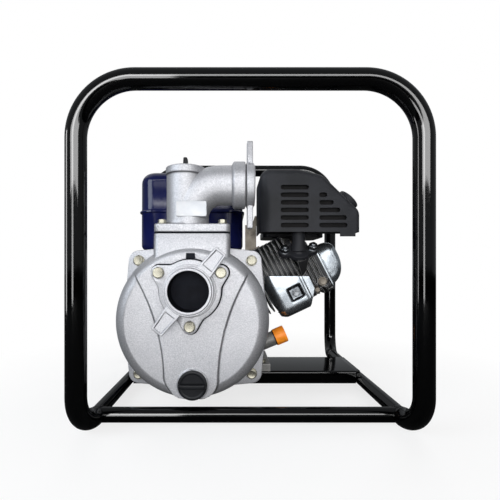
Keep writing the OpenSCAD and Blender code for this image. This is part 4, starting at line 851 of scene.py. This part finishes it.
def screw_plug(origin, out, across, radius, rib, half):
    """Screw plug: a turned head with a rounded rim and a dished middle, a shank behind it, and a grip rib
    whose rounded oblong section runs half to each side across the head and rises rib above it."""
    up = np.cross(out, across)
    head = lathe(filleted([(0, -16), (10, -16), (10, 0), (radius, 0), (radius, 5.0), (radius - 3, 5.2),
                           (radius - 4.5, 4.4), (0, 4.4)], (0, 1, 0, 0.8, 1.2, 0.8, 0.8, 0), 4), origin, out)
    s = np.linspace(-1, 1, 41)
    drop = np.sqrt(np.clip(1 - ((np.abs(s) - 0.9) / 0.1).clip(0) ** 2, 0, 1))
    tall = (5.0 + rib) * (1 - 0.1 * s ** 4) * (0.25 + 0.75 * drop)
    curve = filleted([(-3.1, 0.0), (-2.5, 12.0), (2.5, 12.0), (3.1, 0.0)], (0, 1.3, 1.3, 0), 5) / (1.0, 12.0)
    height = 3.5 + curve[None, :, 1] * (tall - 3.5)[:, None]
    points = (np.asarray(origin, float) + (s * half)[:, None, None] * across
              + np.broadcast_to(curve[:, 0], height.shape)[..., None] * up + height[..., None] * out)
    return [head, (points.reshape(-1, 3), capped_faces(len(s), len(curve)))]


class FIREPUMP_OT_plugs(Operator):
    """Moulds the drain plug and the priming plug."""
    bl_idname = "firepump.plugs"
    bl_label = "Screw plugs"

    def execute(self, context):
        r, = mm(context.scene.firepump_pump, "plug")
        drain = screw_plug((DRAIN[0], FACE_Y - 4.2, DRAIN[2]), -Y, X, r, 7.0, r - 1.2)
        add_piece("drain_plug_moulded", drain, "Black plastic", "drain_plug")
        priming = screw_plug((RISER_X, ELBOW_Y, PLUG_SEAT), Z, Y, r, 14.3, 8.0)
        add_piece("priming_plug_moulded", priming, "Black plastic", "priming_plug")
        return {"FINISHED"}


class FIREPUMP_OT_oil_cap(Operator):
    """Moulds the oil filler cap: a plain turned skirt over the filler neck, seated on a thin black ring that
    is painted shade for the gap between cap and neck.
    """
    bl_idname = "firepump.oil_cap"
    bl_label = "Oil filler cap"

    def execute(self, context):
        lean = np.radians(67.0)
        out = np.array([np.sin(lean), 0.0, np.cos(lean)])
        origin = SHAFT + (132.5, -42.0, -41.0)
        neck, rim = 12.1, 13.8
        skirt = lathe(filleted([(neck, -8.0), (rim, -8.0), (rim, 10.5), (0, 10.5)], (0, 0.5, 1.2, 0), 5),
                      origin, out)
        stem = lathe(filleted([(0, -20), (7.9, -20), (7.9, 0), (0, 0)], (0, 1.0, 0, 0), 3), origin, out, 48)
        # A thin black rubber ring under the skirt: painted shade in the gap between cap and neck
        seal = lathe(filleted([(neck, -9.6), (13.0, -9.6), (13.0, -7.6), (neck, -7.6)], 0.3, 3, True),
                     origin, out, 96, True)
        add_piece("oil_cap_gap_shade", [seal], "Rubber", body=BODY_OF["oil_filler_cap"])
        add_piece("oil_filler_cap_moulded", [skirt, stem], "Orange plastic", "oil_filler_cap")
        return {"FINISHED"}


class FIREPUMP_OT_fasteners(Operator):
    """Forges the hexagon bolts and nuts."""
    bl_idname = "firepump.fasteners"
    bl_label = "Fasteners"

    def execute(self, context):
        # Where the heads sit, then each set's finish, solids and sizes as bolt takes them
        signs = [(a, b) for a in (-1, 1) for b in (-1, 1)]
        ears = [SHAFT + (a * EAR_BOLT, JOINT_Y - 9, b * EAR_BOLT) for a, b in signs]
        thirds = np.radians([30.0, 150.0, 270.0])
        port = [PORT + (LOBE_BOLT * np.cos(a), FLANGE_Y, LOBE_BOLT * np.sin(a)) for a in thirds]
        elbow = [np.array([SHAFT[0] + a * 41, ELBOW_Y + b * 20, ELBOW_Z1]) for a, b in signs]
        feet = [np.array([-51 + a * 81, -6 + b, 40.4]) for a in (-1, 1) for b in (0, 75.5)]
        rim = np.radians(np.arange(62, 201, 34))
        cover = [SHAFT + (76.8 * np.cos(a), COVER_Y, 76.8 * np.sin(a)) for a in rim]
        cover += [SHAFT + (x, COVER_Y, z) for x, z in ((-43, -62), (-43, -86), (85, -34), (85, -90))]
        drain = np.array([SHAFT[0] + 80, 40, 54.4])
        head = [SHAFT + 187 * UP + v * ACROSS + y * Y for y in (-35, 45) for v in (-58, 29)]
        plate = SHAFT + 204.5 * UP - 49 * ACROSS - 41 * Y
        shield = SHAFT + 156 * UP - 46 * ACROSS - 41 * Y
        slant = np.cross(EXHAUST_OUT, X)
        pipe = [EXHAUST + 23.0 * a * X + 3.5 * a * slant + 4.0 * EXHAUST_OUT for a in (-1, 1)]
        for name, finish, node, bolts in (
                ("casing_bolt_set", "Zinc plate", "casing_bolts",
                 [bolt(p, -Y, (13, 4.8, 8), (4, 26), (18, 13, 6.5, 7.4, 0.8)) for p in ears]),
                ("suction_bolt_set", "Zinc plate", "suction_flange_bolts",
                 [bolt(p, -Y, (13, 4.4, 7.4), (4, 14)) for p in port]),
                ("elbow_bolt_set", "Zinc plate", "elbow_bolts",
                 [bolt(p, Z, (10, 4.6, 6.8), (3, 25)) for p in elbow]),
                ("foot_bolt_set", "Zinc plate", "engine_mount_bolts",
                 [bolt(p, Z, (13, 5.3, 8.5), (4, 22), (15, 13, 6, 7.4, 0.5)) for p in feet]),
                ("cover_bolt_set", "Zinc plate", "cover_bolts", [bolt(p, -Y, (8, 3.6, 4.4)) for p in cover]),
                ("oil_drain_bolt_hex", "Zinc plate", "oil_drain_bolt", [bolt(drain, X, (12, 6, 9))]),
                ("head_bolt_set", "Dull steel", "head_bolts",
                 [bolt(p, UP, (12, 6, 7.4), (3, 7.5)) for p in head]
                 + [bolt(plate, -Y, (11, 4, 7.5), (3, 9))]),
                ("shield_bolt_hex", "Ground steel", "shield_bolt",
                 [bolt(shield, -Y, (10, 4.4, 6.5), (3, 2))]),
                ("exhaust_nut_set", "Ground steel", "exhaust_nuts",
                 [[hex_head(p, EXHAUST_OUT, 13, 6.5, 8), shank(p, EXHAUST_OUT, 4, 11.2),
                   shank(p, -EXHAUST_OUT, 4, 7.8)] for p in pipe])):
            add_piece(name, sum(bolts, []), finish, node)
        return {"FINISHED"}


class FIREPUMP_OT_tank(Operator):
    """Presses the fuel tank: two rounded shells joined at a seam flange, with a filler neck."""
    bl_idname = "firepump.tank"
    bl_label = "Fuel tank"

    def execute(self, context):
        s = context.scene.firepump_engine
        w, l, h, edge = mm(s, "tank_width", "tank_depth", "tank_height", "tank_edge")
        middle = np.array([-192 + w / 2, 2 + l / 2, 237.0])
        a = np.linspace(0, np.pi / 2, 9)
        levels = [(3 + 10 * (1 - np.sin(t)), 10 * (1 - np.cos(t))) for t in a]
        levels += [(3, 66), (2.4, 67.4), (0.8, 68), (0, 68.8), (0, 71.2), (0.8, 72), (2.4, 72.6), (3.2, 74)]
        levels += [(3.4 + edge * (1 - np.cos(t)), h - 1.5 - edge * (1 - np.sin(t))) for t in a]
        inset = levels[-1][0]
        levels += [(inset, h - 1.5 + 1.5 * t, 1 - t * 0.5) for t in (0.3, 0.6, 1.0)]
        shell = stack(round_rect(w, l, 32, 12), levels, middle, X, Y, Z)
        neck = lathe(filleted([(27, h - 3), (24, h + 1), (24, h + 6), (20, h + 6), (20, h - 6), (0, h - 6)],
                              (0, 2, 0.8, 0.8, 0, 0), 4), middle, Z)
        add_piece("fuel_tank_pressed", [shell, neck], "Navy enamel", "fuel_tank")
        return {"FINISHED"}


def filled(loops, origin, ex, ey):
    """Flat sheet: the first loop is its edge and the others are holes, joined by triangles."""
    bm = bmesh.new()
    for loop in loops:
        points = np.asarray(origin, float) + loop[:, :1] * ex + loop[:, 1:] * ey
        verts = [bm.verts.new(p) for p in points]
        for a, b in zip(verts, verts[1:] + verts[:1]):
            bm.edges.new((a, b))
    bmesh.ops.triangle_fill(bm, use_beauty=True, edges=bm.edges[:])
    bm.verts.index_update()
    points = np.array([v.co[:] for v in bm.verts])
    faces = [[v.index for v in f.verts] for f in bm.faces]
    bm.free()
    return points, faces


def sheet_metal(obj, thickness, edge=0.3):
    """Gives a drawn surface the thickness of sheet in millimetres, half to each side, and breaks its
    edges."""
    wall = obj.modifiers.new("Sheet", "SOLIDIFY")
    wall.thickness = thickness * 0.001
    wall.offset = 0.0
    bevel_edges(obj, edge, SHEET_ANGLE)


class FIREPUMP_OT_valve_cover(Operator):
    """Presses the valve cover: a flange and a lopsided dome, tight at its upper end and long at its lower
    end."""
    bl_idname = "firepump.valve_cover"
    bl_label = "Valve cover"

    def execute(self, context):
        rise, = mm(context.scene.firepump_engine, "cover_rise")
        origin = SHAFT + BARREL_Y * Y + COVER_V * ACROSS
        flange = stack(round_rect(80, 84, 12), soft_levels(HEAD_U, HEAD_U + 3, 0.8), origin, Y, ACROSS, UP)
        a = np.linspace(0, np.pi / 2, 26)[:, None]
        height = 5.0 + (rise - 5.0) * np.sin(a)
        tight = 13.0 - np.sqrt(169.0 - np.clip(height - rise + 13.0, 0.0, 13.0) ** 2)
        top, low, side = 36.0 - tight, -36.0 + 43.0 * (1 - np.cos(a)), 34.0 - tight
        t = circle(72)[None]
        soft = [np.sign(f) * np.abs(f) ** 0.5 for f in (np.cos(t), np.sin(t))]
        across = (top + low) / 2 + (top - low) / 2 * soft[1]
        rings = np.stack([side * soft[0], across, HEAD_U + height + 0 * across], -1)
        foot = rings[:1] * (1.05, 1.05, 1.0) - (0.0, 0.0, 3.0)
        points = np.concatenate([foot, rings]).reshape(-1, 3) @ np.stack([Y, ACROSS, UP]) + origin
        dome = points, capped_faces(len(rings) + 1, 72)
        add_piece("valve_cover_pressed", [flange, dome], "Zinc sheet", "valve_cover")
        return {"FINISHED"}


class FIREPUMP_OT_heat_shield(Operator):
    """Folds the plated heat shield: cut level along the top and slanting at the lower right, its rounded foot
    rising to the left, with its left side folded back, a shallow groove, and a sunk bolt seat."""
    bl_idname = "firepump.heat_shield"
    bl_label = "Heat shield"

    def execute(self, context):
        section = filleted([(-43.2, 8.0), (-47.0, -22.0), (-40.5, -79.5), (29.0, -79.5)], (0, 110, 18, 0), 12)
        run = run_along(section)
        inward = np.gradient(section, run, axis=0)[:, ::-1] * (-1, 1)
        fold = filleted([(113.0, 9.0), (127.0, 0.0), (140.0, 0.0)], 14.0, 8)
        u = np.concatenate([np.arange(113.0, 124.0, 1.0), fold[1:-1, 0], np.arange(136.0, 187.1, 0.75)])
        u = np.unique(u)[None]
        back = np.interp(u, fold[:, 0], fold[:, 1])
        first = 8.0 - np.minimum((57.6 - u * UP[2]) / ACROSS[2], 2.0 - 2.4 * (122.8 - u))
        falls = section[:, 1] > -79.4
        cut = np.interp(52.0 + (187.0 - u) * 26.0 / 17.0, -section[falls, 1], run[falls])
        last = np.where(u > 170.0, cut, np.where(u < 119.0, 53.0 + 5.0 * (u - 113.0), run[-1]))
        s = first + (last - first) * np.linspace(0, 1, 170)[:, None]
        y, v, ny, nv = (np.interp(s, run, column) for column in (*section.T, *inward.T))
        v = v + 0.03 * (169.0 - u).clip(0) * ramp(-v, 25.0, 62.0)
        seat = ramp(u, 142.0, 148.0) * ramp(-u, -170.0, -164.0) * ramp(v, -60.0, -54.0) * ramp(-v, 32.0, 38.0)
        groove = ramp(u, 171.5, 173.0) * ramp(-u, -177.5, -176.0)
        lift = back + 4.2 * seat + 0.8 * groove
        y, v = y + lift * ny, v + lift * nv
        points = SHAFT + (u + 0 * y)[..., None] * UP + v[..., None] * ACROSS + y[..., None] * Y
        faces = grid_faces(*points.shape[:2])
        # Painted shade in the sunk bolt seat and on its slopes, and on the lower end where the sheet turns
        # back
        painted_shade = (0.45 * seat + 3.0 * seat * (1 - seat) + 0.6 * ramp(-u, -127.0, -119.0)).ravel()
        obj = add_piece("heat_shield_folded", [(points.reshape(-1, 3), faces, painted_shade)], "Zinc sheet",
                        "heat_shield", sharp=60)
        sheet_metal(obj, *mm(context.scene.firepump_engine, "sheet"))
        return {"FINISHED"}


class FIREPUMP_OT_guard(Operator):
    """Presses the muffler guard: a slotted front whose edges turn back over a radius that changes along the
    edge."""
    bl_idname = "firepump.guard"
    bl_label = "Muffler guard"

    def execute(self, context):
        s = context.scene.firepump_engine
        tight, wide, wall = mm(s, "guard_edge", "guard_left", "sheet")
        w, h = 156.0 - wall / 2, 100.0 - wall / 2
        path = filleted([(wall / 2, 0), (wall / 2, h), (60, h), (98, h - 10.6), (w, 33), (w, 0)],
                        (0, 16, 60, 24, 16, 0), 10)
        path = np.concatenate([np.linspace(path[0], path[1], 24, endpoint=False), path[1:]])
        out = unit(np.gradient(path, axis=0))[:, ::-1] * (-1, 1)
        x, z = path.T
        turn = tight + 4.0 * ramp(-x, -90.0, -50.0)
        turn += (wide - tight - 4.0) * ramp(-x, -12.0, -4.0) * ramp(-z, -84.0, -50.0)
        a = np.linspace(0, np.pi / 2, 12)[:, None]
        inset = np.concatenate([turn * (1 - np.sin(a)), 0 * turn[None]])
        depth = np.concatenate([turn * (1 - np.cos(a)) + wall / 2, 92.0 + 0 * turn[None]])
        rows = path + inset[..., None] * -out
        points = GUARD + rows[..., :1] * X + depth[..., None] * Y + rows[..., 1:] * Z
        wrap = points.reshape(-1, 3), grid_faces(*depth.shape)
        edge = np.concatenate([rows[0], [(w - tight, -7), (w - tight - 24, -7), (w - tight - 24, 0)]])
        holes = []
        slot, longest, pitch = 7.0, 43.6, 11.8
        for i in range(6):
            for x0, reach in ((32.0, longest), (92.0, min(longest, 10.2 * i + 1.8))):
                if reach > slot:
                    holes.append(round_rect(reach, slot, 3.4, 5) + (x0 + reach / 2, 69.5 - pitch * i))
        front = filled([edge] + holes, GUARD + wall / 2 * Y, X, Z)
        obj = add_piece("muffler_guard_pressed", [wrap, front], "Heat paint", "muffler_guard", sharp=50)
        sheet_metal(obj, wall)
        return {"FINISHED"}


class FIREPUMP_OT_stage(Operator):
    """Sets the floor, the light and the camera."""
    bl_idname = "firepump.stage"
    bl_label = "Stage"

    def execute(self, context):
        scene = context.scene
        scene.view_settings.view_transform = "Standard"
        mesh = bpy.data.meshes.new("floor")
        mesh.from_pydata([(-8, -8, 0), (8, -8, 0), (8, 8, 0), (-8, 8, 0)], [], [(0, 1, 2, 3)])
        floor = bpy.data.objects.new("floor", mesh)
        scene.collection.objects.link(floor)
        # Matt white studio paper that fades into the backdrop away from the object
        paper = bpy.data.materials.new("Studio paper")
        tree = fresh_tree(paper)
        where = add_node(tree, "ShaderNodeTexCoord").outputs["Object"]
        away = add_node(tree, "ShaderNodeVectorMath", {0: where}, operation="LENGTH").outputs["Value"]
        fade = add_node(tree, "ShaderNodeMapRange", {"Value": away, "From Min": 0.2, "From Max": 0.6,
                                                     "To Min": 0.74, "To Max": 1.0}).outputs["Result"]
        seen = add_node(tree, "ShaderNodeLightPath").outputs["Is Camera Ray"]
        matt = add_node(tree, "ShaderNodeBsdfDiffuse", {"Color": linear("#f6f6f6")})
        glow = add_node(tree, "ShaderNodeEmission", {"Color": (1.0, 1.0, 1.0, 1.0), "Strength": 1.0})
        mix = add_node(tree, "ShaderNodeMixShader", {0: fade, 1: matt.outputs[0], 2: glow.outputs[0]})
        bounce = add_node(tree, "ShaderNodeBsdfDiffuse", {"Color": linear("#404040")})
        mix = add_node(tree, "ShaderNodeMixShader", {0: seen, 1: bounce.outputs[0], 2: mix.outputs[0]})
        add_node(tree, "ShaderNodeOutputMaterial", {"Surface": mix.outputs[0]})
        mesh.materials.append(paper)

        world = bpy.data.worlds.new("Studio")
        scene.world = world
        tree = fresh_tree(world)
        rays = add_node(tree, "ShaderNodeLightPath").outputs
        bright = add_node(tree, "ShaderNodeMapRange", {"Value": rays["Is Glossy Ray"], "To Min": 0.08,
                                                       "To Max": 0.24}).outputs["Result"]
        sky = add_node(tree, "ShaderNodeBackground", {"Color": (0.92, 0.96, 1.0, 1.0), "Strength": bright})
        white = add_node(tree, "ShaderNodeBackground", {"Color": (1.0, 1.0, 1.0, 1.0), "Strength": 1.0})
        mix = add_node(tree, "ShaderNodeMixShader",
                       {0: rays["Is Camera Ray"], 1: sky.outputs[0], 2: white.outputs[0]})
        add_node(tree, "ShaderNodeOutputWorld", {"Surface": mix.outputs[0]})

        # The streak cards shine on the enamelled tubes alone, and all other lights on all else
        enamelled, others = (bpy.data.collections.new(name) for name in ("enamelled", "not_enamelled"))
        for obj in scene.objects:
            if obj.type == "MESH" and obj.active_material and obj.active_material.name == "Gloss enamel":
                enamelled.objects.link(obj)
                others.objects.link(obj)
        for entry in others.collection_objects:
            entry.light_linking.link_state = "EXCLUDE"

        # A card is seen only in glossy reflections, a lamp gives only diffuse light, and the others do both
        cool, plain = (0.86, 0.93, 1.0), (1.0, 1.0, 1.0)
        for name, at, aim, size, power, tone in (
                ("key", (-1.3, -0.95, 0.85), (-0.06, -0.1, 0.2), (0.9, 0.9), 18.0, cool),
                ("front_lamp", (0.0, -1.8, 0.4), (0.0, 0.0, 0.2), (0.7, 0.5), 25.0, plain),
                ("fill", (1.1, -1.5, 0.9), (0.08, 0.0, 0.2), (0.8, 0.8), 3.0, plain),
                ("strip_card", (0.0, -1.4, 1.3), (0.0, 0.0, 0.3), (1.8, 0.10), 6.0, plain),
                ("back_right_lamp", (1.2, 1.5, 1.1), (0.0, 0.1, 0.2), (1.2, 1.2), 24.0, plain),
                ("back_left_lamp", (-1.0, 1.7, 1.2), (0.0, 0.1, 0.2), (1.2, 1.2), 16.0, plain),
                ("front_card", (0.0, -2.0, 0.55), (0.0, 0.0, 0.25), (2.0, 1.2), 18.5, plain),
                ("floor_card", (0.0, -1.05, 0.03), (0.0, -1.0, 1.0), (1.1, 1.1), 7.5, plain),
                ("top_card", (0.0, 0.5, 1.35), (0.0, 0.2, 0.3), (2.6, 1.4), 8.0, plain),
                ("streak_card_top", (0.0, -1.7, 0.8), (0.0, -0.2, 0.4), (2.4, 0.42), 27.0, plain),
                ("streak_card_left", (-0.5, -1.7, 0.4), (-0.2, -0.2, 0.25), (0.42, 1.0), 11.0, plain),
                ("streak_card_side", (-1.5, -0.32, 0.35), (0.0, -0.22, 0.25), (0.35, 1.0), 7.0, plain)):
            lamp = bpy.data.lights.new(name, "AREA")
            lamp.shape = "RECTANGLE"
            lamp.size, lamp.size_y = size
            lamp.energy = power
            lamp.color = tone
            holder = bpy.data.objects.new(name, lamp)
            scene.collection.objects.link(holder)
            holder.location = at
            holder.visible_camera = False
            holder.visible_diffuse = "card" not in name
            holder.visible_glossy = "lamp" not in name
            holder.light_linking.receiver_collection = enamelled if "streak" in name else others
            towards = Vector(aim) - holder.location
            holder.rotation_euler = towards.to_track_quat("-Z", "Y").to_euler()

        # A level camera whose focal length is 380 pixels of a picture 500 pixels wide
        lens = bpy.data.cameras.new("camera")
        lens.sensor_width = 36.0
        lens.lens = lens.sensor_width * 380.0 / 500.0
        lens.shift_x = 0.035
        lens.shift_y = 0.032
        lens.clip_start = 0.01
        camera = bpy.data.objects.new("camera", lens)
        scene.collection.objects.link(camera)
        camera.location = (-0.0209, -0.674, 0.209)
        camera.rotation_euler = (np.pi / 2, 0.0, 0.0)
        scene.camera = camera
        return {"FINISHED"}


STEPS = (FIREPUMP_OT_finishes, FIREPUMP_OT_cage, FIREPUMP_OT_casing, FIREPUMP_OT_suction, FIREPUMP_OT_elbow,
         FIREPUMP_OT_plugs, FIREPUMP_OT_oil_cap, FIREPUMP_OT_fasteners, FIREPUMP_OT_tank,
         FIREPUMP_OT_valve_cover, FIREPUMP_OT_heat_shield, FIREPUMP_OT_guard, FIREPUMP_OT_rounded,
         FIREPUMP_OT_stage)


class FIREPUMP_PT_panel(Panel):
    """Lists the steps and the sizes."""
    bl_label = "Fire pump"
    bl_space_type = "VIEW_3D"
    bl_region_type = "UI"
    bl_category = "Fire pump"

    def draw(self, context):
        for step in STEPS:
            self.layout.operator(step.bl_idname)
        for name, group in GROUPS.items():
            box = self.layout.box()
            for key in group.__annotations__:
                box.prop(getattr(context.scene, name), key)


GROUPS = {"firepump_cage": CageSizes, "firepump_pump": PumpSizes, "firepump_engine": EngineSizes,
          "firepump_colours": FinishColours}


def register():
    """Registers the classes and hangs the property groups on the scene."""
    for cls in (*GROUPS.values(), *STEPS, FIREPUMP_PT_panel):
        bpy.utils.register_class(cls)
    for key, cls in GROUPS.items():
        setattr(bpy.types.Scene, key, PointerProperty(type=cls))


def unregister():
    """Takes the property groups and classes away again."""
    for key in GROUPS:
        delattr(bpy.types.Scene, key)
    for cls in (FIREPUMP_PT_panel, *reversed(STEPS), *GROUPS.values()):
        bpy.utils.unregister_class(cls)


def main():
    """Runs every step in order."""
    register()
    for step in STEPS:
        group, name = step.bl_idname.split(".")
        getattr(getattr(bpy.ops, group), name)()


if __name__ == "__main__":
    main()
